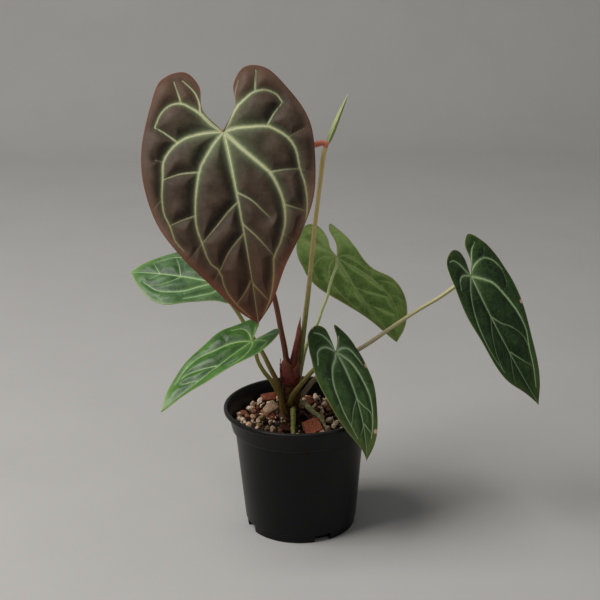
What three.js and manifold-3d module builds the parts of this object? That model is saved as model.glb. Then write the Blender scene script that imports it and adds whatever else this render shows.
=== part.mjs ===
// Potted velvet-leaved anthurium in a black nursery pot: six heart-shaped leaves, each on its
// own stalk, one flower stalk with its spathe and spadix, a short old stem with roots, and a
// chunky potting mix.
//
// Millimetres, +Z up. The origin is the middle of the pot's foot, on the surface that the pot
// stands on. The front, where the big leaf faces, is -Y, and +X is to the right from there.

import * as THREE from 'three';
import { mergeVertices } from 'three/addons/utils/BufferGeometryUtils.js';
import Module from 'manifold-3d';

const wasm = await Module();
wasm.setup();

// Driving dimensions

const GAP = 0.3; // clearance that neighbouring pieces keep

const POT = {
  height: 101,
  rimRadius: 60,
  rimInnerRadius: 57,
  rimDepth: 3.6,
  collarTopRadius: 56.6,
  collarFootRadius: 53.4,
  collarFootHeight: 82.3,
  bodyTopRadius: 51.3,
  footBandHeight: 6.5,
  footBandRadius: 43.9,
  footRadius: 43.3,
  footRingRadius: 40.6,
  step: 0.7,
  wall: 1.5,
  floorUnderside: 3,
  floorTop: 4.6,
  notchWidth: 14,
  notchHeight: 5.6,
  notchCount: 4,
  firstNotchDegrees: -67,
  sides: 48,
};

const MIX = {
  middleHeight: 91,
  wallHeight: 88,
  lean: 0.02, // how much the surface rises towards the back, per millimetre
  sides: 28,
  grains: 42,
  chips: 20,
  grainSize: [2.6, 4.2],
  chipSize: [3.6, 7.5],
  seed: 20,
};

const STEM = { radius: 7.4, sides: 14 };

// The middle of the whole plant seen from above, measured from the pot's axis.
const MIDDLE = { x: 27.9, y: -4.9 };

const STALK_SIDES = 9;

const BLADE = {
  thickness: 0.8,
  midribWidth: 1.6,
  midribDepth: 1.3,
  veinDepth: 0.6,
  ruling: 1.3, // how the stations of the rulings crowd towards the stalk
  bow: 0.2, // how far a ruling bows back into the lobe, as a share of the half width
  bowStart: 0.12,
  hinge: 4,
  smallestStep: 0.05, // least distance between two vein lines, as a share of a ruling
};

// Where the three side veins run. Vein line k lies at the share
// 0.93 (1 - exp(-(u / reach)^power)) of the ruling u, so it leaves the stalk close to the
// midrib and nears the margin as it runs on to the tip.
const VEIN_SHARE = 0.93;
const BROAD_VEINS = [[0.72, 1.35], [0.35, 1.7], [0.184, 1.5]];
const SLIM_VEINS = [[0.58, 1.35], [0.25, 1.7], [0.13, 1.5]];

// Each leaf: where its stalk joins the blade, where its tip is, how far the blade is rolled
// about the line between them, and how much it arches from end to end. Each half has its
// fold, the angle at which it rises from the midrib, its curl, the further turn at the
// margin, and its outline as [along the midrib, across it], from the bottom of the notch
// round the lobe towards the tip. The right half is the one on the right when the tip
// points away and the upper face is up. A stalk is listed from its foot upwards.
const LEAVES = {
  a: {
    joint: [-52.5, -15, 325.5], tip: [-29, -62, 191.5], roll: 22, arch: 14,
    sway: -1.5, veins: BROAD_VEINS, rows: 22, puff: 1.4, wave: 1.1, waves: 4.5,
    right: {
      fold: 6, curl: -14,
      outline: [[-18, 12], [-37, 11.5], [-49, 20], [-46, 38], [-28, 49.5], [0, 61],
        [28, 64.5], [58, 60.5], [86, 46.5], [112, 28], [132, 13]],
    },
    left: {
      fold: 6, curl: -14,
      outline: [[-18, 12], [-34, 14], [-45, 24], [-42, 39], [-22, 54.5], [0, 63.5],
        [22, 64.5], [56, 58], [82, 44.5], [106, 27], [130, 13]],
    },
    stalk: [[-8.4, -0.4, 120.4], [-8.6, -0.8, 127], [-9.2, -1.8, 134], [-10.4, -3, 148],
      [-13.2, -5, 166], [-17.3, -7, 191], [-26.4, -8, 228], [-36.1, -7, 263.5],
      [-44.3, -4, 294], [-50, -3.5, 312.5]],
    stalkRadii: [2.4, 2.1, 1.9, 1.8, 2.2],
    color: 0x3b2a26, stalkColor: 0x5a2e26,
  },
  b: {
    joint: [-63, 5, 201.5], tip: [-131, 25, 205], roll: -25, arch: 15,
    sway: 0, veins: SLIM_VEINS, rows: 14, puff: 1, wave: 0.6, waves: 3.5,
    right: {
      fold: 0, curl: -8,
      outline: [[-12, 6], [-22, 14], [-20, 24], [-6, 31], [16, 34], [36, 31], [52, 22],
        [63, 11]],
    },
    left: {
      fold: 0, curl: -8,
      outline: [[-9, 5], [-18, 9], [-17, 17], [-5, 18], [12, 23], [31, 30.5], [46, 26],
        [60, 14]],
    },
    stalk: [[-9.6, 0.4, 94.5], [-11.8, -1.6, 98.5], [-13.3, -3, 104], [-14.4, -3.8, 112],
      [-17.4, -4, 122.5], [-22.4, -4, 133.6], [-28.4, -3, 146.8], [-37.5, -1, 162],
      [-47.5, 3, 179], [-57, 8, 190]],
    stalkRadii: [2.2, 2, 1.7, 1.5, 1.7],
    color: 0x4d7a3a, stalkColor: 0x4b4a24,
  },
  c: {
    joint: [-35, -35, 167.5], tip: [-103, -70, 126], roll: -8, arch: 15,
    sway: -2.5, veins: SLIM_VEINS, rows: 14, puff: 1, wave: 0.5, waves: 3.5,
    right: {
      fold: 12, curl: -8,
      outline: [[-9, 7], [-15, 13], [-13, 21], [0, 24], [14, 27.5], [34, 24], [55, 19],
        [72, 11]],
    },
    left: {
      fold: 22, curl: -8,
      outline: [[-10, 1], [-20, 2], [-20, 13], [-12, 22], [3, 27], [20, 24], [42, 15],
        [66, 8]],
    },
    stalk: [[-9.2, -5, 93.5], [-11.6, -6.8, 97.5], [-13.4, -8, 103], [-15.2, -8.4, 111.4],
      [-20.9, -12, 125], [-26.8, -18, 136], [-31, -25, 147.5]],
    stalkRadii: [2.1, 1.9, 1.7, 1.5, 1.7],
    color: 0x3f7034, stalkColor: 0x3c4a20,
  },
  d: {
    joint: [31.5, 25, 215], tip: [81.5, 60, 129.5], roll: -40, arch: 18,
    sway: -5, veins: SLIM_VEINS, rows: 14, puff: 1, wave: 0.6, waves: 3.5,
    right: {
      fold: 4, curl: -8,
      outline: [[-14, 7], [-32, 11], [-38, 15], [-22, 18.5], [2, 18], [24, 19], [42, 28],
        [62, 28.5], [80, 22], [96, 11]],
    },
    left: {
      fold: 4, curl: -8,
      outline: [[-18, -3], [-34, -5], [-45, 0], [-41, 11], [-20, 25], [8, 33], [28, 32.5],
        [50, 23], [78, 11]],
    },
    stalk: [[-3.2, 4.6, 109], [-1.5, 6, 113], [0.4, 7, 120.3], [2.8, 8, 131.8],
      [5.4, 9, 143.2], [10.2, 11, 155.1], [15.9, 13, 165], [19.2, 14.5, 174.4],
      [23.3, 16, 184.5], [25.6, 17, 194], [28.6, 17, 203.5]],
    stalkRadii: [1.9, 1.7, 1.5, 1.4, 1.6],
    color: 0x4a7838, stalkColor: 0x7d8c52,
  },
  e: {
    joint: [134, 0, 205.5], tip: [185.5, -30, 109.5], roll: 20, arch: 10,
    sway: 4, veins: SLIM_VEINS, rows: 15, puff: 1, wave: 0.6, waves: 3.5,
    right: {
      fold: 22, curl: -8,
      outline: [[-10, 3], [-20, 3], [-25, 9], [-20, 20], [-4, 28], [18, 32], [42, 32.5],
        [64, 31.5], [82, 25], [98, 12]],
    },
    left: {
      fold: 12, curl: -8,
      outline: [[-10, 7], [-24, 11], [-29, 18], [-18, 26], [2, 31], [20, 31.5],
        [46, 26.5], [74, 18.5], [98, 9]],
    },
    stalk: [[-3.4, 2, 102], [-0.6, 2.4, 105], [4.8, 4, 110], [11.3, 5, 118.3],
      [24.9, 6, 128.8], [38.4, 6, 138.4], [56.6, 6, 149.8], [72.3, 6, 161.3],
      [94, 5.5, 176.4], [111, 5.5, 186.8], [121.5, 5.5, 194.5]],
    stalkRadii: [2.1, 1.9, 1.6, 1.5, 1.7],
    color: 0x24401f, stalkColor: 0x7a6b45,
  },
  f: {
    joint: [29, -15, 150.5], tip: [51, -58, 77.5], roll: -10, arch: 15,
    sway: -4.8, veins: SLIM_VEINS, rows: 14, puff: 1, wave: 0.6, waves: 3.5,
    right: {
      fold: 15, curl: -8,
      outline: [[-10, 1], [-20, 3], [-23, 11], [-15, 24], [2, 29.5], [22, 30.5],
        [44, 25.5], [64, 14.5], [79, 4]],
    },
    left: {
      fold: 5, curl: -8,
      outline: [[-11, 6], [-22, 8], [-12, 15], [4, 21.5], [20, 24], [44, 22.5],
        [64, 16.5], [78, 9]],
    },
    stalk: [[-7.6, -4.4, 102.5], [-7.2, -8, 106], [-4.7, -10, 113], [0.9, -11, 121],
      [8.1, -11.5, 130.3], [16, -11, 138.4]],
    stalkRadii: [2.2, 2, 1.8, 1.7, 1.8],
    color: 0x21391f, stalkColor: 0x55562c,
  },
};

const PEDUNCLE = {
  path: [[-3.4, 3.6, 120.4], [-0.9, 3, 127.5], [1.2, 3, 137], [3, 3, 150], [5.6, 2.4, 170.6],
    [7.9, 1.6, 189], [10.5, 1, 211.6], [12.3, 1, 229], [14.8, 1.2, 251.6], [17.2, 2, 270],
    [19.9, 3, 290.7], [21.7, 3, 303], [22.9, 3, 307.6]],
  radii: [2.3, 2, 1.8, 1.7, 1.9],
};

const SPADIX = {
  path: [[23, 3, 308.4], [23.5, 3.1, 310.8], [21.6, 3.7, 311.6], [18.2, 4.6, 310.8],
    [12, 6, 308.9], [1, 8.4, 305.4], [-11, 11, 300.5], [-26, 14.4, 294]],
  radii: [1.7, 2.1, 2.4, 2.3, 2.2, 1.9, 1.1],
  steps: 13,
};

const SPATHE = {
  joint: [24.3, 3, 309.6], tip: [40.6, 5, 348.6], roll: -96, arch: 10,
  sway: 0, veins: SLIM_VEINS, rows: 8, puff: 0, wave: 0, waves: 1,
  right: { fold: 42, curl: 6, outline: [[3, 2.2], [10, 3], [22, 2.4], [34, 1.3]] },
  left: { fold: 42, curl: 6, outline: [[3, 2.2], [10, 3], [22, 2.4], [34, 1.3]] },
};

const CATAPHYLLS = {
  bulb: [[-6.4, 1.2, 118.2], [-6.4, 1, 122], [-6.6, 0.8, 128], [-6.9, 0.6, 134],
    [-7.2, 0.6, 139]],
  bulbRadii: [5.6, 7.7, 7.7, 6.2, 3.4],
  tallScale: [[-4.2, -1.2, 126], [-3.2, -0.6, 140], [-1, 0.8, 150], [1.1, 1.7, 160],
    [2.8, 2.2, 172]],
  tallRadii: [3.4, 3.1, 2.8, 2, 0.5],
  spikes: [
    { from: [-10.5, -3, 122], to: [-13.6, -5, 138.5], radius: 2.6 },
    { from: [-2, -3.5, 121], to: [-1.6, -7.2, 135], radius: 2.8 },
    { from: [-8, 5, 121], to: [-10.5, 9.4, 135.5], radius: 2.8 },
  ],
};

const STEM_PATH = [[-8, 0.5, 80], [-7.6, 1, 92], [-6.8, 1.8, 104], [-6.4, 2, 117.8]];
const STEM_RADII = [6.6, 8.4, 7.2, 7.6, 6.6];

const ROOTS = {
  root_front: {
    path: [[-4.6, -3.6, 98.5], [-4.9, -9, 100.3], [-4.8, -17, 98], [-5, -27, 95.4],
      [-5.2, -35, 92.6], [-5.4, -39, 87]],
    radii: [2.2, 2.1, 2, 1.9, 1.2], color: 0x8d9467,
  },
  root_right: {
    path: [[-1.6, 1.4, 97.5], [2.8, 1, 101], [6.2, -3, 100.4], [10.6, -8.4, 97.6],
      [16.6, -13.6, 94.6], [20.4, -16.6, 88]],
    radii: [2.2, 2.2, 2, 1.9, 1.2], color: 0x9a8f72,
  },
  root_thin: {
    path: [[-2.2, -2.6, 96], [1.4, -6.4, 97.6], [5.4, -10.4, 96.2], [9.4, -13.2, 91],
      [10.4, -14, 86]],
    radii: [0.9, 0.9, 0.8, 0.8, 0.6], color: 0x6d4f57,
  },
};

// Chunks that stand out on the surface: [x, y, length, width, thickness, turn in degrees]
const LARGE_CHIPS = [
  [11, -24, 17, 10, 5, 35],
  [-9, -30, 11, 7, 4, -10],
  [-19, 24, 12, 7, 4, 15],
  [-30, 4, 10, 7, 4, 60],
];

const radians = THREE.MathUtils.degToRad;

// Solids

// Merge a geometry's shared corners, so that it is one closed skin.
function skin(geometry) {
  const bare = geometry.index ? geometry.clone() : geometry;
  bare.deleteAttribute('normal');
  bare.deleteAttribute('uv');
  return mergeVertices(bare, 1e-4);
}

function toSolid(geometry) {
  const closed = skin(geometry);
  return new wasm.Manifold(new wasm.Mesh({
    numProp: 3,
    vertProperties: new Float32Array(closed.attributes.position.array),
    triVerts: new Uint32Array(closed.index.array),
  }));
}

function toGeometry(solid) {
  const mesh = solid.getMesh();
  const geometry = new THREE.BufferGeometry();
  geometry.setAttribute('position', new THREE.BufferAttribute(mesh.vertProperties, 3));
  geometry.setIndex(new THREE.BufferAttribute(mesh.triVerts, 1));
  return geometry;
}

function piece(name, geometry, color, roughness) {
  geometry.computeVertexNormals();
  const material = new THREE.MeshStandardMaterial({ color, roughness, metalness: 0 });
  const mesh = new THREE.Mesh(geometry, material);
  mesh.name = name;
  return mesh;
}

// The same draw of random numbers on every run.
function randomFrom(seed) {
  let state = seed >>> 0;
  return () => {
    state = (Math.imul(state, 1664525) + 1013904223) >>> 0;
    return state / 4294967296;
  };
}

function splineAt(values, share) {
  const place = THREE.MathUtils.clamp(share, 0, 1) * (values.length - 1);
  const index = Math.min(Math.floor(place), values.length - 2);
  const rest = place - index;
  const smooth = rest * rest * (3 - 2 * rest);
  return values[index] + (values[index + 1] - values[index]) * smooth;
}

// A round stalk: a profile turned on a straight axis, then bent along a smooth path through
// the given points. Its radius follows the listed radii from foot to top, plus a margin.
function stalk(points, radii, { sides = STALK_SIDES, steps = 0, margin = 0, extend = 0 } = {}) {
  const corners = points.map((point) => new THREE.Vector3(...point));
  if (extend > 0) {
    const [first, second] = corners;
    const [before, last] = corners.slice(-2);
    first.add(first.clone().sub(second).setLength(extend));
    last.add(last.clone().sub(before).setLength(extend));
  }
  const curve = new THREE.CatmullRomCurve3(corners, false, 'centripetal');
  const count = steps || Math.max(5, Math.round(curve.getLength() / 9));
  const profile = [new THREE.Vector2(0, 0)];
  for (let i = 0; i <= count; i += 1) {
    profile.push(new THREE.Vector2(splineAt(radii, i / count) + margin, i / count));
  }
  profile.push(new THREE.Vector2(0, 1));
  const geometry = skin(new THREE.LatheGeometry(profile, sides));
  const frames = curve.computeFrenetFrames(count, false);
  const position = geometry.attributes.position;
  for (let i = 0; i < position.count; i += 1) {
    const station = Math.round(position.getY(i) * count);
    const bent = curve.getPointAt(station / count)
      .addScaledVector(frames.binormals[station], position.getX(i))
      .addScaledVector(frames.normals[station], position.getZ(i));
    position.setXYZ(i, bent.x, bent.y, bent.z);
  }
  return outward(geometry);
}

// Turn a closed skin's faces outwards if its signed volume is negative.
function outward(geometry) {
  const position = geometry.attributes.position;
  const index = geometry.index.array;
  const a = new THREE.Vector3();
  const b = new THREE.Vector3();
  const c = new THREE.Vector3();
  let volume = 0;
  for (let i = 0; i < index.length; i += 3) {
    a.fromBufferAttribute(position, index[i]);
    b.fromBufferAttribute(position, index[i + 1]);
    c.fromBufferAttribute(position, index[i + 2]);
    volume += a.dot(b.cross(c));
  }
  if (volume < 0) {
    for (let i = 0; i < index.length; i += 3) {
      [index[i], index[i + 1]] = [index[i + 1], index[i]];
    }
  }
  return geometry;
}

// Leaf blades

// A blade lies in leaf coordinates, along the midrib from the stalk towards the tip and
// across it, and is then folded, curled and arched into place.
class Blade {
  constructor(spec) {
    this.spec = spec;
    this.joint = new THREE.Vector3(...spec.joint);
    const chord = new THREE.Vector3(...spec.tip).sub(this.joint);
    this.forward = chord.clone().normalize();
    const level = new THREE.Vector3(0, 0, 1);
    level.addScaledVector(this.forward, -level.dot(this.forward)).normalize();
    const side = this.forward.clone().cross(level);
    const roll = radians(spec.roll);
    this.up = level.multiplyScalar(Math.cos(roll)).addScaledVector(side, Math.sin(roll));
    this.right = this.forward.clone().cross(this.up);
    this.arch = radians(spec.arch);
    this.length = chord.length() * (this.arch / 2) / Math.sin(this.arch / 2);
    this.halves = [spec.right, spec.left].map((half, side) => {
      const sign = side === 0 ? 1 : -1;
      const outline = [[0, 0], ...half.outline, [this.length, 0]];
      const points = outline.map(([along, across]) => (
        new THREE.Vector3(along, across - sign * this.bowed(along), 0)
      ));
      return {
        margin: new THREE.CatmullRomCurve3(points, false, 'centripetal'),
        width: Math.max(...half.outline.map(([, across]) => across)),
        fold: radians(half.fold),
        curl: radians(half.curl),
      };
    });
  }

  // The midrib bows sideways between the stalk and the tip, by the sway at its middle.
  bowed(along) {
    const share = THREE.MathUtils.clamp(along / this.length, 0, 1);
    return this.spec.sway * 4 * share * (1 - share);
  }

  // The ruling u leaves the midrib at length * u^1.3 and ends on the margin, the share u of
  // the way round from the notch to the tip. The share v is measured along the ruling, which
  // bows outwards so that it stays inside a lobe.
  flat(u, v, side) {
    const half = this.halves[side];
    const edge = half.margin.getPointAt(u);
    const start = this.length * u ** BLADE.ruling;
    const bow = (1 - Math.exp(-((u / BLADE.bowStart) ** 2))) * (1 - u) ** 2;
    return [
      (1 - v) * start + v * edge.x,
      v * edge.y + BLADE.bow * half.width * 4 * v * (1 - v) * bow,
    ];
  }

  // Across the blade the surface is an arc that starts at the fold angle and turns by the
  // curl up to the half width. Heights are square to it, and turn upright within the hinge
  // beside the midrib. Along it the midrib is an arc too, and straight in the lobes.
  place(along, across, side, height) {
    const half = this.halves[side];
    let sideways = 0;
    let lift = height;
    if (across !== 0) {
      const bend = half.curl / half.width;
      const angle = half.fold + bend * across;
      const tilt = angle * Math.min(across / BLADE.hinge, 1);
      sideways = (Math.sin(angle) - Math.sin(half.fold)) / bend - height * Math.sin(tilt);
      lift = (Math.cos(half.fold) - Math.cos(angle)) / bend + height * Math.cos(tilt);
      if (side === 1) sideways = -sideways;
    }
    sideways += this.bowed(along);
    const turn = this.arch / this.length;
    const start = this.arch / 2;
    const slope = start - turn * Math.max(along, 0);
    const behind = Math.min(along, 0);
    const ahead = (Math.sin(start) - Math.sin(slope)) / turn + behind * Math.cos(start);
    const rise = (Math.cos(slope) - Math.cos(start)) / turn + behind * Math.sin(start);
    return this.joint.clone()
      .addScaledVector(this.forward, ahead - lift * Math.sin(slope))
      .addScaledVector(this.up, rise + lift * Math.cos(slope))
      .addScaledVector(this.right, sideways);
  }

  // A point straight under the joint, on the side that the stalk comes from.
  under(depth) {
    return this.place(0, 0, 0, -depth).toArray();
  }

  // The vein lines across the ruling u, with the puffed stretches between them:
  // [share of the ruling, height of the upper face, extra depth of the lower face].
  columns(u) {
    const { veins, puff } = this.spec;
    const reach = Math.max(this.length * 0.35, 1);
    const rib = BLADE.midribWidth / reach;
    const stations = [rib];
    for (const [share, power] of veins) {
      const value = VEIN_SHARE * (1 - Math.exp(-((u / share) ** power)));
      const least = stations[stations.length - 1] + 2 * BLADE.smallestStep;
      stations.push(Math.max(value, least));
    }
    const [, first, second, third] = stations;
    const taper = 1 - u;
    return [
      [0, -puff * 0.2, BLADE.midribDepth * taper],
      [rib, 0, BLADE.veinDepth * 0.4 * taper],
      [(rib + first) / 2, puff, 0],
      [first, 0, BLADE.veinDepth * taper],
      [(first + second) / 2, puff, 0],
      [second, 0, BLADE.veinDepth * taper],
      [(second + third) / 2, puff * 0.8, 0],
      [third, 0, BLADE.veinDepth * 0.5 * taper],
      [1, 0, 0],
    ];
  }

  // Upper and lower faces share one pattern of triangles, joined by a rim all round.
  geometry(margin = 0) {
    const { rows, wave, waves } = this.spec;
    const half = BLADE.thickness / 2 + margin;
    const across = this.columns(0.5).length - 1;
    const corners = [];
    const upper = [];
    const lower = [];
    const add = (point) => corners.push(...point.toArray()) / 3 - 1;
    const pole = (along, depth) => [
      add(this.place(along, 0, 0, half)),
      add(this.place(along, 0, 0, -half - depth)),
    ];
    const [jointTop, jointUnder] = pole(0, BLADE.midribDepth);
    for (let row = 1; row < rows; row += 1) {
      const u = row / rows;
      const columns = this.columns(u);
      const fade = Math.sin(Math.PI * u) ** 0.5;
      const topRow = [];
      const underRow = [];
      for (let column = -across; column <= across; column += 1) {
        const side = column < 0 ? 1 : 0;
        const [v, height, depth] = columns[Math.abs(column)];
        const [along, sideways] = this.flat(u, v, side);
        const ripple = wave * v ** 3 * Math.sin(Math.PI * 2 * waves * u + side * 1.7);
        const level = height * fade + ripple;
        topRow.push(add(this.place(along, sideways, side, level + half)));
        underRow.push(add(this.place(along, sideways, side, level - half - depth)));
      }
      upper.push(topRow);
      lower.push(underRow);
    }
    const [tipTop, tipUnder] = pole(this.length, 0);
    const faces = [];
    const wide = 2 * across;
    const patch = (grid, first, last, flip) => {
      const push = (a, b, c) => faces.push(...(flip ? [a, c, b] : [a, b, c]));
      for (let column = 0; column < wide; column += 1) {
        push(first, grid[0][column + 1], grid[0][column]);
        push(last, grid[rows - 2][column], grid[rows - 2][column + 1]);
        for (let row = 0; row < rows - 2; row += 1) {
          const here = grid[row];
          const next = grid[row + 1];
          if (column < across) {
            push(here[column], here[column + 1], next[column + 1]);
            push(here[column], next[column + 1], next[column]);
          } else {
            push(here[column], here[column + 1], next[column]);
            push(here[column + 1], next[column + 1], next[column]);
          }
        }
      }
    };
    patch(upper, jointTop, tipTop, true);
    patch(lower, jointUnder, tipUnder, false);
    const ring = (grid, first, last) => [
      first, ...grid.map((row) => row[wide]), last, ...grid.map((row) => row[0]).reverse(),
    ];
    const top = ring(upper, jointTop, tipTop);
    const under = ring(lower, jointUnder, tipUnder);
    for (let i = 0; i < top.length; i += 1) {
      const next = (i + 1) % top.length;
      faces.push(top[i], under[next], under[i], top[i], top[next], under[next]);
    }
    const geometry = new THREE.BufferGeometry();
    geometry.setAttribute('position', new THREE.Float32BufferAttribute(corners, 3));
    geometry.setIndex(faces);
    return outward(geometry);
  }
}

// Pot

function bodyRadius(z) {
  const foot = POT.footBandRadius + POT.step;
  const share = (z - POT.footBandHeight) / (POT.collarFootHeight - POT.footBandHeight);
  return foot + (POT.bodyTopRadius - foot) * share;
}

function potGeometry() {
  const rimFoot = POT.height - POT.rimDepth;
  const innerStep = POT.collarFootHeight - 0.9;
  const profile = [
    [0, POT.floorUnderside],
    [POT.footRingRadius, POT.floorUnderside],
    [POT.footRingRadius + 0.6, 0],
    [POT.footRadius, 0],
    [POT.footBandRadius, POT.footBandHeight],
    [POT.footBandRadius + POT.step, POT.footBandHeight + 0.4],
    [bodyRadius(45), 45],
    [POT.bodyTopRadius, POT.collarFootHeight],
    [POT.collarFootRadius, POT.collarFootHeight + 0.3],
    [POT.collarFootRadius + 0.4, POT.collarFootHeight + 1.4],
    [POT.collarTopRadius, rimFoot - 0.4],
    [POT.rimRadius - 0.6, rimFoot],
    [POT.rimRadius, rimFoot + 0.8],
    [POT.rimRadius, POT.height - 0.8],
    [POT.rimRadius - 0.8, POT.height],
    [POT.rimInnerRadius + 0.6, POT.height],
    [POT.rimInnerRadius, POT.height - 0.8],
    [POT.collarTopRadius - POT.wall, rimFoot - 0.6],
    [POT.collarFootRadius - POT.wall + 0.3, POT.collarFootHeight + 1.2],
    [POT.bodyTopRadius - POT.wall, innerStep],
    [bodyRadius(45) - POT.wall, 45],
    [bodyRadius(POT.floorTop + 1) - POT.wall, POT.floorTop + 1],
    [bodyRadius(POT.floorTop) - POT.wall - 1, POT.floorTop],
    [0, POT.floorTop],
  ];
  const points = profile.map(([radius, z]) => new THREE.Vector2(radius, z));
  const turned = new THREE.LatheGeometry(points, POT.sides).rotateX(Math.PI / 2);
  let solid = toSolid(outward(skin(turned)));
  const reach = 16;
  for (let i = 0; i < POT.notchCount; i += 1) {
    const angle = radians(POT.firstNotchDegrees + (360 / POT.notchCount) * i);
    const cutter = new THREE.BoxGeometry(reach, POT.notchWidth, POT.notchHeight + 1)
      .translate(POT.footRadius + reach / 2 - 7, 0, (POT.notchHeight - 1) / 2)
      .rotateZ(angle);
    solid = solid.subtract(toSolid(cutter));
  }
  return toGeometry(solid);
}

// Potting mix

function mixHeight(x, y) {
  const share = Math.min(Math.hypot(x, y) / 50, 1);
  const dome = MIX.middleHeight + (MIX.wallHeight - MIX.middleHeight) * share * share;
  return dome + MIX.lean * y;
}

// The pot's hollow, less the gap to its wall: everything loose in the pot stays inside it.
function hollow(top) {
  const inset = POT.wall + GAP;
  const profile = [
    [0, POT.floorTop + GAP],
    [bodyRadius(POT.floorTop) - inset - 1.2, POT.floorTop + GAP],
    [bodyRadius(POT.floorTop + 1) - inset - 0.1, POT.floorTop + 1.2 + GAP],
    [POT.bodyTopRadius - inset, POT.collarFootHeight - 0.9],
    [POT.collarFootRadius - inset + 0.3, POT.collarFootHeight + 1.5],
    [POT.collarTopRadius - inset - 0.2, top],
    [0, top],
  ];
  const points = profile.map(([radius, z]) => new THREE.Vector2(radius, z));
  const turned = new THREE.LatheGeometry(points, POT.sides).rotateX(Math.PI / 2);
  return toSolid(outward(skin(turned)));
}

function mixCore() {
  const profile = [[0, 0], [56, 0], [56, 1]];
  for (const radius of [44, 32, 20, 9]) profile.push([radius, 1]);
  profile.push([0, 1]);
  const points = profile.map(([radius, z]) => new THREE.Vector2(radius, z));
  const turned = new THREE.LatheGeometry(points, MIX.sides).rotateX(Math.PI / 2);
  const geometry = skin(turned);
  const position = geometry.attributes.position;
  for (let i = 0; i < position.count; i += 1) {
    const x = position.getX(i);
    const y = position.getY(i);
    if (position.getZ(i) > 0.5) {
      const bump = 0.8 * Math.sin(x * 0.31 + 1) * Math.sin(y * 0.27 + 2);
      position.setZ(i, mixHeight(x, y) - 1.6 + bump);
    }
  }
  return toSolid(outward(geometry));
}

// A rounded grain: a twenty-sided ball, its corners moved in and out a little.
function grain(random, size) {
  const geometry = skin(new THREE.IcosahedronGeometry(1, 0));
  const position = geometry.attributes.position;
  const stretch = [1, 0.75 + 0.35 * random(), 0.65 + 0.3 * random()];
  for (let i = 0; i < position.count; i += 1) {
    const scale = size * (0.86 + 0.28 * random());
    position.setXYZ(
      i,
      position.getX(i) * scale * stretch[0],
      position.getY(i) * scale * stretch[1],
      position.getZ(i) * scale * stretch[2],
    );
  }
  return geometry;
}

// A flake of bark: a flat box with its corners pulled about.
function flake(random, length, width, thickness) {
  const geometry = skin(new THREE.BoxGeometry(length, width, thickness));
  const position = geometry.attributes.position;
  for (let i = 0; i < position.count; i += 1) {
    position.setXYZ(
      i,
      position.getX(i) * (0.75 + 0.35 * random()),
      position.getY(i) * (0.75 + 0.35 * random()),
      position.getZ(i) * (0.8 + 0.3 * random()),
    );
  }
  return geometry;
}

function mixGeometry(pressed) {
  const random = randomFrom(MIX.seed);
  const solids = [mixCore()];
  const settle = (geometry, x, y, depth) => {
    geometry.rotateX((random() - 0.5) * 0.9);
    geometry.rotateZ(random() * Math.PI);
    geometry.translate(x, y, mixHeight(x, y) - depth);
    solids.push(toSolid(geometry));
  };
  const spread = (count, index) => {
    const radius = 50 * Math.sqrt((index + 0.6) / count);
    const angle = index * 2.399963 + random() * 0.5;
    return [radius * Math.cos(angle), radius * Math.sin(angle)];
  };
  for (const [x, y, length, width, thickness, turn] of LARGE_CHIPS) {
    const geometry = flake(random, length, width, thickness);
    geometry.rotateX(0.25).rotateZ(radians(turn)).translate(x, y, mixHeight(x, y));
    solids.push(toSolid(geometry));
  }
  for (let i = 0; i < MIX.grains; i += 1) {
    const [x, y] = spread(MIX.grains, i);
    const size = THREE.MathUtils.lerp(...MIX.grainSize, random());
    settle(grain(random, size), x, y, size * 0.35);
  }
  for (let i = 0; i < MIX.chips; i += 1) {
    const [x, y] = spread(MIX.chips, i);
    const size = THREE.MathUtils.lerp(...MIX.chipSize, random());
    settle(flake(random, size * 1.5, size, size * 0.55), x * 0.96, -y * 0.96, 0.8);
  }
  const heap = solids.reduce((whole, next) => whole.add(next));
  return toGeometry(largest(cut(heap.intersect(hollow(POT.height)), pressed)));
}

// Cutting neighbours clear of each other

function cut(solid, others) {
  return others.reduce((rest, other) => rest.subtract(other), solid);
}

// The biggest body of a solid that cutting has left in several.
function largest(solid) {
  const bodies = solid.decompose();
  return bodies.reduce((best, next) => (next.volume() > best.volume() ? next : best));
}

const group = new THREE.Group();

const blades = {};
const stalkPaths = {};
for (const [key, leaf] of Object.entries(LEAVES)) {
  const blade = new Blade(leaf);
  const seat = BLADE.thickness / 2 + BLADE.midribDepth + GAP;
  blades[key] = blade;
  stalkPaths[key] = [...leaf.stalk, blade.under(9), blade.under(seat)];
}

const stalkSolids = {};
for (const [key, leaf] of Object.entries(LEAVES)) {
  stalkSolids[key] = stalk(stalkPaths[key], leaf.stalkRadii);
}

// The same stalk a gap larger all round, to cut a clear socket with.
function socket(path, radii, options = {}) {
  return toSolid(stalk(path, radii, { ...options, margin: GAP, extend: GAP }));
}

const stalkSockets = {};
for (const [key, leaf] of Object.entries(LEAVES)) {
  stalkSockets[key] = socket(stalkPaths[key], leaf.stalkRadii);
}

const peduncleSocket = socket(PEDUNCLE.path, PEDUNCLE.radii);
const rootSockets = Object.values(ROOTS).map((root) => socket(root.path, root.radii));

const stemSolid = toSolid(stalk(STEM_PATH, STEM_RADII, { sides: STEM.sides, steps: 7 }));
const stemSocket = socket(STEM_PATH, STEM_RADII, { sides: STEM.sides, steps: 7 });

const everyStalk = Object.values(stalkSockets);

const stemCut = largest(cut(stemSolid, [...everyStalk, ...rootSockets]));

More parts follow.
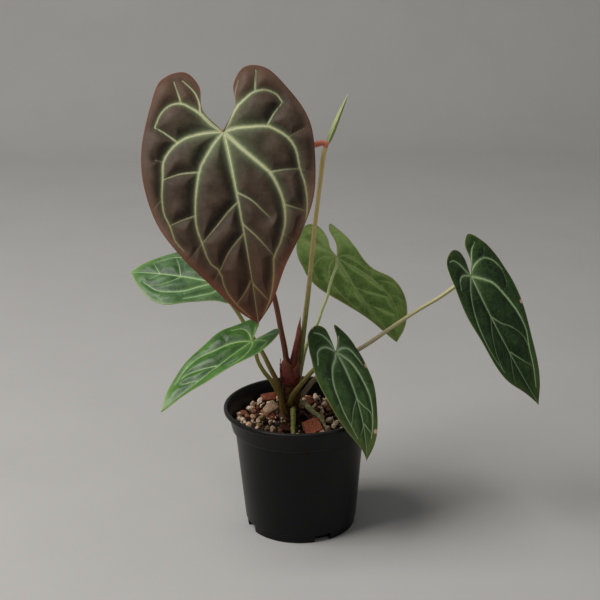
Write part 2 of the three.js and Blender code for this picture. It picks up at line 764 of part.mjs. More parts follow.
function cataphyllGeometry() {
  const { bulb, bulbRadii, tallScale, tallRadii, spikes } = CATAPHYLLS;
  let solid = toSolid(stalk(bulb, bulbRadii, { sides: 14, steps: 6 }));
  solid = solid.add(toSolid(stalk(tallScale, tallRadii, { sides: 8, steps: 6 })));
  for (const { from, to, radius } of spikes) {
    const middle = from.map((value, i) => (value + to[i]) / 2);
    const tapering = [radius, radius * 0.8, 0.4];
    solid = solid.add(toSolid(stalk([from, middle, to], tapering, { sides: 6, steps: 3 })));
  }
  return toGeometry(largest(cut(solid, [...everyStalk, peduncleSocket, stemSocket])));
}

const spathe = new Blade(SPATHE);
const spadixSocket = socket(SPADIX.path, SPADIX.radii, { steps: SPADIX.steps });

group.add(piece('pot', potGeometry(), 0x151516, 0.55));
group.add(piece(
  'potting_mix',
  mixGeometry([stemSocket, ...everyStalk, ...rootSockets]),
  0x6b4a38,
  0.95,
));
group.add(piece('stem', toGeometry(stemCut), 0x3a2a1f, 0.85));
for (const [name, { path, radii, color }] of Object.entries(ROOTS)) {
  group.add(piece(name, stalk(path, radii, { sides: 8 }), color, 0.7));
}
group.add(piece('cataphylls', cataphyllGeometry(), 0x5a2026, 0.5));
for (const [key, leaf] of Object.entries(LEAVES)) {
  group.add(piece(`leaf_stalk_${key}`, stalkSolids[key], leaf.stalkColor, 0.45));
  group.add(piece(`leaf_blade_${key}`, blades[key].geometry(), leaf.color, 0.4));
}
const spadixGeometry = stalk(SPADIX.path, SPADIX.radii, { steps: SPADIX.steps });
group.add(piece('flower_stalk', stalk(PEDUNCLE.path, PEDUNCLE.radii), 0x6f6a38, 0.5));
group.add(piece('spadix', spadixGeometry, 0xa5503c, 0.6));
const spatheSolid = cut(toSolid(spathe.geometry()), [spadixSocket, peduncleSocket]);
group.add(piece('spathe', toGeometry(largest(spatheSolid)), 0x5c7a2e, 0.45));

// Everything above is measured from the pot's axis. The origin goes below the plant's middle.
for (const mesh of group.children) mesh.geometry.translate(-MIDDLE.x, -MIDDLE.y, 0);

export default group;
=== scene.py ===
"""The finished look of a potted velvet-leaved anthurium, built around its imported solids."""

import math

import bmesh
import bpy
import numpy as np
from bpy.props import (
    FloatProperty,
    FloatVectorProperty,
    IntProperty,
    PointerProperty,
)
from mathutils import Matrix


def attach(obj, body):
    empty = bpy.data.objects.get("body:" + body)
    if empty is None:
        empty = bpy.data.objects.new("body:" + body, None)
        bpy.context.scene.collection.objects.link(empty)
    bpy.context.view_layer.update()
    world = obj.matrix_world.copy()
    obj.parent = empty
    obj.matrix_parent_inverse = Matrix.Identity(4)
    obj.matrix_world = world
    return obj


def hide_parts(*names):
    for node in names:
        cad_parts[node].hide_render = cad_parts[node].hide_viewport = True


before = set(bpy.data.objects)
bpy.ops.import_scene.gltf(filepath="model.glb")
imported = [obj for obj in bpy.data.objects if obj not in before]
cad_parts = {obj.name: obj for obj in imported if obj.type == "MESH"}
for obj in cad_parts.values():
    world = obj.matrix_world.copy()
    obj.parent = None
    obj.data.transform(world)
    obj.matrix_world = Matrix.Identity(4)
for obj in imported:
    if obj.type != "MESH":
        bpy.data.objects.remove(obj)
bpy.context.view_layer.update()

bl_info = {
    "name": "Potted anthurium",
    "version": (1, 0, 0),
    "blender": (4, 5, 0),
    "location": "View3D > Sidebar > Anthurium",
    "description": "Builds the fine surfaces and finishes of a potted anthurium",
    "category": "Add Mesh",
}

MM = 0.001  # metres in a millimetre, the unit of all sizes of the plant and the pot
FULL_TURN = 2 * math.pi
UP = np.array([0.0, 0.0, 1.0])
MIDDLE = np.array([27.9, -4.9, 0.0])  # of the whole plant, measured from the pot's axis
BODY = "root"

# Curves and meshes. A surface is a triple: points, a list of face arrays, and named arrays
# with a number or a vector for every point, which the finish reads.

CURVE_STEPS = 40  # points that a smooth curve has from one given point to the next
CAP_DEPTH = 0.45  # of a rod's rounded end, as a share of its radius
CAP_REACH = np.array([1.0, 0.62])  # of the two rings of that end, as shares of the depth
CAP_TURN = np.array([0.45, 0.8])  # of the same rings, as shares of the radius on a circle
CAP_POLE = 0.1  # how far the pole lies past the outer ring, as a share of the depth


def smooth_curve(points, shares):
    """Points of a smooth curve through the given ones.

    Between two given points the curve is a cubic whose end slopes follow the square roots
    of the neighbouring distances (a centripetal Catmull-Rom curve). The result lies at the
    given shares of the curve's whole length.
    """
    knots = np.asarray(points, float)
    padded = np.vstack([2 * knots[0] - knots[1], knots, 2 * knots[-1] - knots[-2]])
    before, start, end, after = padded[:-3], padded[1:-2], padded[2:-1], padded[3:]

    def gap(a, b):
        return np.sqrt(np.linalg.norm(b - a, axis=1))[:, None]

    middle = gap(start, end)
    first = gap(before, start)
    last = gap(end, after)
    out = (start - before) / first - (end - before) / (first + middle)
    out = (out + (end - start) / middle) * middle
    into = (end - start) / middle - (after - start) / (middle + last)
    into = (into + (after - end) / last) * middle
    t = np.linspace(0, 1, CURVE_STEPS, endpoint=False)[None, :, None]
    cubic = (
        start[:, None]
        + out[:, None] * t
        + (-3 * start + 3 * end - 2 * out - into)[:, None] * t**2
        + (2 * start - 2 * end + out + into)[:, None] * t**3
    )
    dense = np.vstack([cubic.reshape(-1, knots.shape[1]), knots[-1:]])
    run = np.r_[0, np.cumsum(np.linalg.norm(np.diff(dense, axis=0), axis=1))]
    where = np.clip(np.asarray(shares, float), 0, 1) * run[-1]
    return np.stack([np.interp(where, run, column) for column in dense.T], -1)


def curve_length(points):
    """Length of the smooth curve through the points."""
    path = smooth_curve(points, np.linspace(0, 1, 200))
    return float(np.linalg.norm(np.diff(path, axis=0), axis=1).sum())


def blend_values(values, shares):
    """Values listed at even steps, blended by 3x^2 - 2x^3 between one and the next."""
    values = np.asarray(values, float)
    place = np.clip(np.asarray(shares, float), 0, 1) * (len(values) - 1)
    index = np.minimum(place.astype(int), len(values) - 2)
    rest = place - index
    rest = rest * rest * (3 - 2 * rest)
    return values[index] + (values[index + 1] - values[index]) * rest


def ripple(points, scale, seed, waves=7):
    """A smooth random field: the sum of sines along seeded directions over sqrt(waves)."""
    random = np.random.default_rng(seed)
    points = np.asarray(points, float)
    total = np.zeros(points.shape[:-1])
    for _ in range(waves):
        direction = random.normal(size=points.shape[-1])
        direction *= (0.6 + 0.8 * random.random()) / np.linalg.norm(direction)
        total += np.sin(points @ direction * (FULL_TURN / scale) + random.random() * 6.3)
    return total / math.sqrt(waves)


def round_ripple(run, angle, radius, scale, seed):
    """The ripple on a rod, as if its points lay on a straight rod of the given radius."""
    sideways, upwards = radius * np.cos(angle), radius * np.sin(angle)
    return ripple(np.stack(np.broadcast_arrays(sideways, upwards, run), -1), scale, seed)


def grid_quads(rows, columns, wrap=False, start=0):
    """The four-sided faces of a grid of points, row after row, joined round if it wraps."""
    row = np.arange(rows - 1)[:, None]
    column = np.arange(columns if wrap else columns - 1)[None, :]
    here = row * columns + column
    beside = row * columns + (column + 1) % columns
    quads = np.stack([here, beside, beside + columns, here + columns], -1)
    return quads.reshape(-1, 4) + start


def pole_fans(rows, columns):
    """Triangles that close both ends of a grid joined round.

    The first ring meets the point that follows the grid's own, the last ring the next.
    """
    ring = np.arange(columns)
    beside = np.roll(ring, -1)
    last = (rows - 1) * columns
    pole = np.full(columns, rows * columns)
    return [
        np.stack([beside, ring, pole], -1),
        np.stack([ring + last, beside + last, pole + 1], -1),
    ]


def oriented(points, faces, values):
    """The same closed surface with its faces turned outwards, by the sign of its volume."""
    volume = 0.0
    for group in faces:
        for corner in range(1, group.shape[1] - 1):
            a, b, c = (points[group[:, i]] for i in (0, corner, corner + 1))
            volume += (a * np.cross(b, c)).sum()
    if volume < 0:
        faces = [group[:, ::-1] for group in faces]
    return points, faces, values


def joined(surfaces):
    """Several surfaces as one: points stacked, faces renumbered, values run together."""
    points, faces, values, start = [], [], {}, 0
    for part_points, part_faces, part_values in surfaces:
        points.append(part_points)
        faces.extend(group + start for group in part_faces)
        for key, value in part_values.items():
            values.setdefault(key, []).append(value)
        start += len(part_points)
    return np.vstack(points), faces, {k: np.concatenate(v) for k, v in values.items()}


def tube_surface(path, radii, sides, step, relief):
    """A round rod bent along a smooth path.

    Point(s, t) = path(s) + r (cos t A + sin t B), where A and B are square to the path
    and r is the blended list of radii plus the relief at the distance run and the angle.
    Both ends are closed by a rounded cap. The values are along (millimetres run from the
    foot) and around (0 to 1).
    """
    length = curve_length(path)
    count = max(8, int(length / step))
    shares = np.linspace(0, 1, count + 1)
    line = smooth_curve(path, shares)
    tangent = np.gradient(line, axis=0)
    tangent /= np.linalg.norm(tangent, axis=1)[:, None]
    reference = np.linalg.eigh(tangent.T @ tangent)[1][:, 0]
    side = reference - (tangent @ reference)[:, None] * tangent
    side /= np.linalg.norm(side, axis=1)[:, None]
    other = np.cross(tangent, side)
    radius = blend_values(radii, shares)
    depth = CAP_DEPTH * radius
    ahead = np.r_[-depth[0] * CAP_REACH, np.zeros(count + 1), depth[-1] * CAP_REACH[::-1]]
    cap = np.sqrt(1 - (1 - CAP_TURN) ** 2)
    radius = np.r_[radius[0] * cap, radius, radius[-1] * cap[::-1]]
    ends = np.r_[0, 0, np.arange(count + 1), count, count]
    run = (shares * length)[ends]
    line, tangent, side, other = line[ends], tangent[ends], side[ends], other[ends]
    line = line + tangent * ahead[:, None]
    angle = np.arange(sides) * (FULL_TURN / sides)
    wide = radius[:, None] + relief(run[:, None], angle[None, :])
    points = line[:, None] + wide[..., None] * (
        np.cos(angle)[:, None] * side[:, None] + np.sin(angle)[:, None] * other[:, None]
    )
    points = np.vstack([
        points.reshape(-1, 3),
        line[:1] - tangent[:1] * depth[0] * CAP_POLE,
        line[-1:] + tangent[-1:] * depth[-1] * CAP_POLE,
    ])
    rows = len(run)
    faces = [grid_quads(rows, sides, wrap=True)] + pole_fans(rows, sides)
    along = np.r_[np.repeat(run, sides), 0, run[-1]]
    around = np.r_[np.tile(angle / FULL_TURN, rows), 0, 0]
    return points, faces, {"along": along, "around": around}


def make_piece(name, surface, finish, slot, replaced):
    """One mesh object from a surface in millimetres, riding on the root."""
    points, faces, values = surface
    mesh = bpy.data.meshes.new(name)
    corners = [face for group in faces for face in group.tolist()]
    mesh.from_pydata(((points - MIDDLE) * MM).tolist(), [], corners)
    mesh.polygons.foreach_set("use_smooth", np.ones(len(corners), bool))
    for key, value in values.items():
        value = value.astype(np.float32)
        kind, field = ("FLOAT", "value") if value.ndim == 1 else ("FLOAT_VECTOR", "vector")
        layer = mesh.attributes.new(key, kind, "POINT")
        layer.data.foreach_set(field, value.ravel())
    mesh.materials.append(finish)
    mesh.update()
    piece = bpy.data.objects.new(name, mesh)
    bpy.context.scene.collection.objects.link(piece)
    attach(piece, BODY)
    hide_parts(*replaced)


# Finishes


class Field:
    """A number that varies over a surface. Arithmetic on it adds Math nodes."""

    def __init__(self, finish, socket):
        self.finish = finish
        self.socket = socket

    def _math(self, operation, *operands):
        inputs = dict(enumerate(operands))
        return self.finish.node("ShaderNodeMath", {"operation": operation}, inputs)

    def __add__(self, other):
        return self._math("ADD", self, other)

    def __radd__(self, other):
        return self._math("ADD", other, self)

    def __sub__(self, other):
        return self._math("SUBTRACT", self, other)

    def __rsub__(self, other):
        return self._math("SUBTRACT", other, self)

    def __mul__(self, other):
        return self._math("MULTIPLY", self, other)

    def __rmul__(self, other):
        return self._math("MULTIPLY", other, self)

    def __truediv__(self, other):
        return self._math("DIVIDE", self, other)

    def sine(self):
        return self._math("SINE", self)

    def size(self):
        return self._math("ABSOLUTE", self)

    def rise(self, low, high):
        """0 at low, 1 at high, eased between them. low may be the larger one."""
        settings = {"interpolation_type": "SMOOTHSTEP"}
        inputs = {"Value": self, "From Min": low, "From Max": high}
        return self.finish.node("ShaderNodeMapRange", settings, inputs, "Result")


class Finish:
    """A material with one Principled shader, and a short way to add nodes to it."""

    def __init__(self, name, **uniform):
        self.material = bpy.data.materials.new(name)
        self.material.use_nodes = True
        self.tree = self.material.node_tree
        self.shader = self.tree.nodes["Principled BSDF"]
        for key, value in uniform.items():
            self.shader.inputs[key.replace("_", " ")].default_value = value
        self.space = self.node("ShaderNodeTexCoord", {}, {}, "Object")
        self.mm = self.vector("SCALE", self.space, Scale=1 / MM)

    def node(self, kind, settings, inputs, output=0):
        node = self.tree.nodes.new(kind)
        for key, value in settings.items():
            setattr(node, key, value)
        for key, value in inputs.items():
            socket = node.inputs[key]
            if isinstance(value, Field):
                self.tree.links.new(value.socket, socket)
            elif hasattr(socket.default_value, "__len__") and len(value) == 3:
                alpha = (1.0,) if len(socket.default_value) == 4 else ()
                socket.default_value = tuple(value) + alpha
            else:
                socket.default_value = value
        return Field(self, node.outputs[output])

    def vector(self, operation, *operands, **named):
        inputs = {**dict(enumerate(operands)), **named}
        return self.node("ShaderNodeVectorMath", {"operation": operation}, inputs)

    def value(self, name, output="Fac"):
        """A number that make_piece stored at every point, or a vector with "Vector"."""
        return self.node("ShaderNodeAttribute", {"attribute_name": name}, {}, output)

    def parts(self, vector):
        node = self.node("ShaderNodeSeparateXYZ", {}, {0: vector}).socket.node
        return [Field(self, output) for output in node.outputs]

    def stretched(self, vector, x, y, z):
        return self.vector("MULTIPLY", vector, (x, y, z))

    def noise(self, vector, size, detail=3.0, distortion=0.0):
        """Cloudy noise whose blotches measure about the given size."""
        inputs = {
            "Vector": vector,
            "Scale": 1 / size,
            "Detail": detail,
            "Roughness": 0.55,
            "Distortion": distortion,
        }
        return self.node("ShaderNodeTexNoise", {}, inputs, "Fac")

    def cells(self, vector, size, feature="DISTANCE_TO_EDGE"):
        """Irregular cells of the given size: the distance to their edges by default."""
        inputs = {"Vector": vector, "Scale": 1 / size, "Randomness": 1.0}
        return self.node("ShaderNodeTexVoronoi", {"feature": feature}, inputs, "Distance")

    def mix(self, factor, first, second):
        """The first colour where the factor is 0, the second where it is 1."""
        inputs = {0: factor, 6: first, 7: second}
        return self.node("ShaderNodeMix", {"data_type": "RGBA"}, inputs, 2)

    def layered(self, color, *layers):
        """A colour with others laid over it one by one, each given as (share, colour)."""
        for share, layer in layers:
            color = self.mix(share, color, layer)
        return color

    def shade(self, color, factor):
        """A colour made darker or lighter by a number."""
        grey = self.node("ShaderNodeCombineXYZ", {}, {0: factor, 1: factor, 2: factor})
        return self.vector("MULTIPLY", color, grey)

    def set(self, socket, value):
        self.tree.links.new(value.socket, self.shader.inputs[socket])

    def bump(self, height, strength=1.0):
        """Tilts the shading by a height in millimetres."""
        inputs = {"Strength": strength, "Distance": MM, "Height": height}
        self.set("Normal", self.node("ShaderNodeBump", {}, inputs, "Normal"))


def srgb(red, green, blue):
    """A colour given by its display values of 0 to 255, as linear light."""
    def linear(value):
        value /= 255
        return value / 12.92 if value <= 0.04045 else ((value + 0.055) / 1.055) ** 2.4

    return (linear(red), linear(green), linear(blue))


def scaled(color, factor):
    """A plain colour made darker or lighter."""
    return tuple(factor * channel for channel in color)


# Leaves

THICKNESS = 0.55  # of a blade
HINGE = 4.0  # beside the midrib, heights turn from upright to square to the half
RULING = 1.3  # power by which the rulings leave the midrib
BOW = 0.2  # of a ruling, as a share of the half's width
BOW_START = 0.12  # share of the length over which the bow grows
MARGIN_STEPS = 161  # points of a margin from which distances are measured
VEIN_STEPS = 26  # points of a vein, the same
FAR = 50.0  # a distance at which no mark shows
LIGHT_ACROSS, LIGHT_ALONG = 0.85, -0.7  # direction of the painted light on the quilting

# Every leaf: where its stalk joins it, its tip, the roll about the line between them, the
# arch from end to end, and for both halves the fold and the outline as [along, across]
# from the bottom of the notch round the lobe to the tip. curl is the turn of a half from
# the midrib to its widest place, sway bows the midrib sideways. These follow the part's
# source, apart from the inner edge of one lobe each of d and e. Veins are listed from
# their root outwards in the same coordinates: main ones rise at the joint, the others
# between them. widths are factors of the first main veins, scars are tan spots.
LEAVES = {
    "a": dict(
        joint=(-52.5, -15, 325.5), tip=(-29, -62, 191.5), roll=22, arch=14, sway=-1.5, curl=-14,
        puff=3.4, spread=6.2, wave=1.1, waves=4.5, rows=210, columns=84, vein_width=1.15,
        right=dict(
            fold=6,
            outline=[(-18, 12), (-37, 11.5), (-49, 20), (-46, 38), (-28, 49.5), (0, 61),
                     (28, 64.5), (58, 60.5), (86, 46.5), (112, 28), (132, 13)],
            main=[
                [(0, 0), (7, 8), (15, 14.9), (24, 21.6), (40, 27.4), (54, 30.7), (66, 32),
                 (79, 30), (94, 26.9), (101, 21), (114, 19.5), (126, 14), (138, 5)],
                [(0, 0), (-1, 10), (-1, 19), (1, 31), (7, 41), (15, 47.5), (26, 49.8),
                 (42, 53.2), (53, 53.7), (62, 51), (74, 49), (82, 44)],
                [(0, 0), (-6, 7.2), (-16, 14.5), (-22, 21), (-26, 27), (-26, 35.2),
                 (-21, 43), (-12, 49.2)],
            ],
            side=[
                [(53, -1.5), (60, 8), (67, 15.8), (79, 30)],
                [(77, -1), (88, 11.4), (101, 21)],
                [(112, 0), (119, 5), (127, 13)],
                [(27, 23), (26, 37), (28, 50)],
                [(58, 31), (60, 43), (62, 51)],
                [(2, 35), (-6, 42.6), (-12, 49.2)],
                [(-16, 14.5), (-24, 13.8), (-33, 15.9), (-43, 23)],
                [(-26, 27), (-34, 27.8), (-43, 29.2)],
            ],
            faint=[
                [(42, 53), (48, 61)], [(15, 47.5), (12.5, 53)], [(79, 30), (90, 42)],
                [(101, 21), (110, 28)],
            ],
        ),
        left=dict(
            fold=6,
            outline=[(-18, 12), (-34, 14), (-45, 24), (-42, 39), (-22, 54.5), (0, 63.5),
                     (22, 64.5), (56, 58), (82, 44.5), (106, 27), (130, 13)],
            main=[
                [(0, 0), (8, 6), (14, 10.4), (28, 21.8), (36, 28), (47, 32), (58, 34),
                 (73, 32.9), (82, 29.5), (90, 25.5), (97, 20.1), (110, 17.6), (127, 12),
                 (139, 4)],
                [(0, 0), (-1, 9), (0, 20), (2, 33), (6, 39), (13, 46), (22, 50), (37, 50.5),
                 (46, 52), (61, 51.5), (75, 48), (84, 43)],
                [(0, 0), (-7, 5.7), (-16, 12.5), (-21, 19.5), (-25, 27), (-25.5, 35),
                 (-23.6, 40), (-20, 44.4), (-14, 47)],
            ],
            widths=[1.35, 1.05, 1.0],
            side=[
                [(46, 1.5), (54, 11.4), (63, 18.1), (68, 21.8)],
                [(69, 1.2), (83, 11.7), (97, 20.1)],
                [(112, 0), (120, 5), (129, 11)],
                [(36, 28), (36, 38), (37, 50)],
                [(61, 34), (68, 47.7)],
                [(1, 33), (-7, 39.6), (-14, 47)],
                [(-26, 28.6), (-34, 30.4), (-41, 31.9)],
            ],
            faint=[
                [(37, 50.5), (42, 60)], [(13, 46), (8, 60)], [(82, 29.5), (91, 39)],
                [(97, 20.1), (106, 26)], [(-16, 12.5), (-26, 13.5), (-36, 18)],
            ],
        ),
    ),
    "b": dict(
        joint=(-63, 5, 201.5), tip=(-131, 25, 205), roll=-25, arch=15, sway=0, curl=-8,
        puff=2.4, spread=3.8, wave=0.6, waves=3.5, rows=120, columns=52, vein_width=0.6,
        right=dict(
            fold=0,
            outline=[(-12, 6), (-22, 14), (-20, 24), (-6, 31), (16, 34), (36, 31),
                     (52, 22), (63, 11)],
            main=[
                [(0, 0), (5, 8), (14, 16), (26, 20.5), (40, 20.9), (54, 13)],
                [(0, 0), (-4, 9), (-2, 18), (6, 25), (18, 28)],
                [(0, 0), (-8, 6), (-13, 13), (-12, 21)],
            ],
            side=[[(29, 0), (33, 9.4), (40, 20.9)], [(46, 0), (52, 7), (56, 12)]],
            faint=[[(14, 16), (13, 27)], [(-4, 9), (-13, 13)], [(26, 20.5), (30, 28)]],
        ),
        left=dict(
            fold=0,
            outline=[(-9, 5), (-18, 9), (-17, 17), (-5, 18), (12, 23), (31, 30.5),
                     (46, 26), (60, 14)],
            main=[
                [(0, 0), (4, 2.2), (11, 7.4), (21, 14.2), (32, 17.5), (42, 18), (56, 11)],
                [(0, 0), (-3, 6), (0, 11), (8, 16), (20, 22)],
                [(0, 0), (-8, 4.6), (-13, 9)],
            ],
            side=[[(28, 0.3), (35, 7.3), (44, 13), (52, 13.6)], [(45, 0), (53, 7)]],
            faint=[[(21, 14.2), (20, 20)], [(32, 17.5), (36, 25)]],
        ),
    ),
    "c": dict(
        joint=(-35, -35, 167.5), tip=(-103, -70, 126), roll=-8, arch=15, sway=-2.5, curl=-8,
        puff=2.0, spread=4.0, wave=0.5, waves=3.5, rows=120, columns=52, vein_width=0.5,
        right=dict(
            fold=12,
            outline=[(-9, 7), (-15, 13), (-13, 21), (0, 24), (14, 27.5), (34, 24),
                     (55, 19), (72, 11)],
            main=[
                [(0, 0), (7, 6.2), (15, 10.3), (26, 12.9), (38, 16.2), (52, 15), (66, 10)],
                [(0, 0), (-3, 9.7), (-2, 16.3), (6, 21.5)],
                [(0, 0), (-6, 5.5), (-11, 11)],
            ],
            side=[[(33, -1.5), (44, 5), (54, 9.5), (64, 10.5)], [(52, -1), (62, 5)]],
            faint=[[(15, 10.3), (14, 21)], [(26, 12.9), (30, 21)]],
        ),
        left=dict(
            fold=22,
            outline=[(-10, 1), (-20, 2), (-20, 13), (-12, 22), (3, 27), (20, 24),
                     (42, 15), (66, 8)],
            main=[
                [(0, 0), (3, 8), (9, 15), (18, 18.5), (30, 16)],
                [(0, 0), (-3, 6), (-5, 14), (-4, 20.5), (3, 23.5)],
                [(0, 0), (-7, 4), (-13, 7), (-15, 11)],
            ],
            side=[[(30, 2), (38, 8), (46, 11)]],
            faint=[[(9, 15), (8, 22)], [(50, 1.5), (58, 6)]],
        ),
    ),
    "d": dict(
        joint=(31.5, 25, 215), tip=(81.5, 60, 129.5), roll=-40, arch=18, sway=-5, curl=-8,
        puff=2.6, spread=4.8, wave=0.6, waves=3.5, rows=130, columns=54, vein_width=0.6,
        right=dict(
            fold=4,
            outline=[(-14, 7), (-32, 11), (-38, 15), (-22, 18.5), (2, 18), (24, 19),
                     (42, 28), (62, 28.5), (80, 22), (96, 11)],
            main=[
                [(0, 0), (9, 2.5), (23, 8.5), (37, 12.7), (56, 16.4), (76, 14.5), (92, 8)],
                [(0, 0), (1, 6.6), (10, 13), (22, 16)],
                [(0, 0), (-8, 5), (-20, 10), (-28, 13)],
            ],
            side=[[(38, -5), (48, 4), (58, 15)], [(60, -4.5), (70, 5), (80, 13)]],
            faint=[[(37, 12.7), (44, 24)], [(56, 16.4), (64, 25)]],
        ),
        left=dict(
            fold=4,
            outline=[(-11, -0.6), (-23, -5), (-34, -6.8), (-42, -5), (-44.5, 1), (-40, 10),
                     (-20, 25), (8, 33), (28, 32.5), (50, 23), (78, 11)],
            main=[
                [(0, 0), (6, 9), (16, 16), (32, 20), (50, 18), (70, 12)],
                [(0, 0), (-4, 8), (-2, 17), (6, 25), (20, 28)],
                [(0, 0), (-12, 3.4), (-22, 8), (-30, 14)],
            ],
            side=[[(34, 4), (42, 11), (50, 18)], [(56, 4.8), (64, 9), (70, 12)]],
            faint=[[(16, 16), (15, 28)], [(32, 20), (36, 28)]],
        ),
    ),
    "e": dict(
        joint=(134, 0, 205.5), tip=(185.5, -30, 109.5), roll=20, arch=10, sway=4, curl=-8,
        puff=2.6, spread=4.8, wave=0.6, waves=3.5, rows=140, columns=56, vein_width=0.8,
        right=dict(
            fold=22,
            outline=[(-7, -3), (-14, -5.5), (-20.5, -4.5), (-24, 2), (-21.5, 14),
                     (-16.5, 22), (-4, 28), (18, 32), (42, 32.5), (64, 31.5), (82, 25),
                     (98, 12)],
            main=[
                [(0, 0), (9, 11), (20, 19.6), (32, 25), (45, 28), (58, 28.5), (76, 24)],
                [(0, 0), (-3, 10.5), (-1, 18), (6, 24)],
                [(0, 0), (-6, 3.5), (-12, 6), (-17, 11), (-17, 17)],
            ],
            side=[[(35, 4), (47, 15.6), (61, 23), (74, 25)], [(66, 3.5), (77, 12), (88, 18)]],
            faint=[[(9, 11), (8, 26)], [(50, 4), (62, 14), (70, 20)]],
        ),
        left=dict(
            fold=12,
            outline=[(-10, 7), (-24, 11), (-29, 18), (-18, 26), (2, 31), (20, 31.5),
                     (46, 26.5), (74, 18.5), (98, 9)],
            main=[
                [(0, 0), (7, 8), (13, 13.5), (23, 17), (33, 19), (45, 20), (58, 19.5),
                 (70, 14.5), (84, 10), (100, 4)],
                [(0, 0), (-4, 4), (-7, 11.8), (-7, 18.8), (-2, 24.3), (8, 28)],
                [(0, 0), (-7, 5.3), (-17, 13), (-21, 19)],
            ],
            side=[[(35, -3), (43, 1.7), (49, 7.8), (60, 14), (70, 14.5)],
                  [(66, -3), (74, 2), (84, 9)]],
            faint=[[(23, 17), (20, 24), (8, 28)], [(45, 20), (52, 24)], [(-7, 18.8), (-14, 23)]],
            scars=[(36.9, 28)],
        ),
    ),
    "f": dict(
        joint=(29, -15, 150.5), tip=(51, -58, 77.5), roll=-10, arch=15, sway=-4.8, curl=-8,
        puff=2.6, spread=4.8, wave=0.6, waves=3.5, rows=130, columns=54, vein_width=0.9,
        right=dict(
            fold=15,
            outline=[(-10, 1), (-20, 3), (-23, 11), (-15, 24), (2, 29.5), (22, 30.5),
                     (44, 25.5), (64, 14.5), (79, 4)],
            main=[
                [(0, 0), (7, 5), (13, 11), (23, 15.4), (32, 16.3), (41, 15.5), (49, 14.2),
                 (58, 10.5), (70, 6)],
                [(0, 0), (-4, 9.6), (-3, 16.6), (1, 21.7), (10, 25.5)],
                [(0, 0), (-5, 2), (-10, 4.5), (-15, 9.8), (-17, 17)],
            ],
            side=[[(39, -4.7), (48, 3.2), (54, 6.8), (60, 10)], [(60, -5), (68, 2)]],
            faint=[[(23, 15.4), (21, 25)], [(41, 15.5), (45, 22)]], scars=[(-22, 16)],
        ),
        left=dict(
            fold=5,
            outline=[(-11, 6), (-22, 8), (-12, 15), (4, 21.5), (20, 24), (44, 22.5),
                     (64, 16.5), (78, 9)],
            main=[
                [(0, 0), (10, 9.3), (18, 12.8), (28, 15.5), (39, 17), (50, 16), (60, 13.2),
                 (72, 8)],
                [(0, 0), (-2, 7), (0, 12.5), (6, 16.2), (14, 20)],
                [(0, 0), (-6, 4), (-12, 7.5)],
            ],
            side=[[(39, 4.5), (46, 8.4), (52, 13.3), (60, 13.2)], [(60, 5), (68, 9)]],
            faint=[[(28, 15.5), (31, 21)]],
            scars=[(15.6, 23), (67.4, 13.4)],
        ),
    ),
}

SPATHE_HALF = dict(
    fold=42, outline=[(3, 2.2), (10, 3), (22, 2.4), (34, 1.3)],
    main=[[(1, 0.6), (14, 1.4), (28, 1.1), (36, 0.5)]], side=[], faint=[],
)
SPATHE = dict(
    joint=(24.3, 3, 309.6), tip=(40.6, 5, 348.6), roll=-96, arch=10, curl=6, sway=0,
    puff=0, spread=3.0, wave=0, waves=1, rows=70, columns=20, vein_width=0.35,
    right=SPATHE_HALF, left=SPATHE_HALF,
)


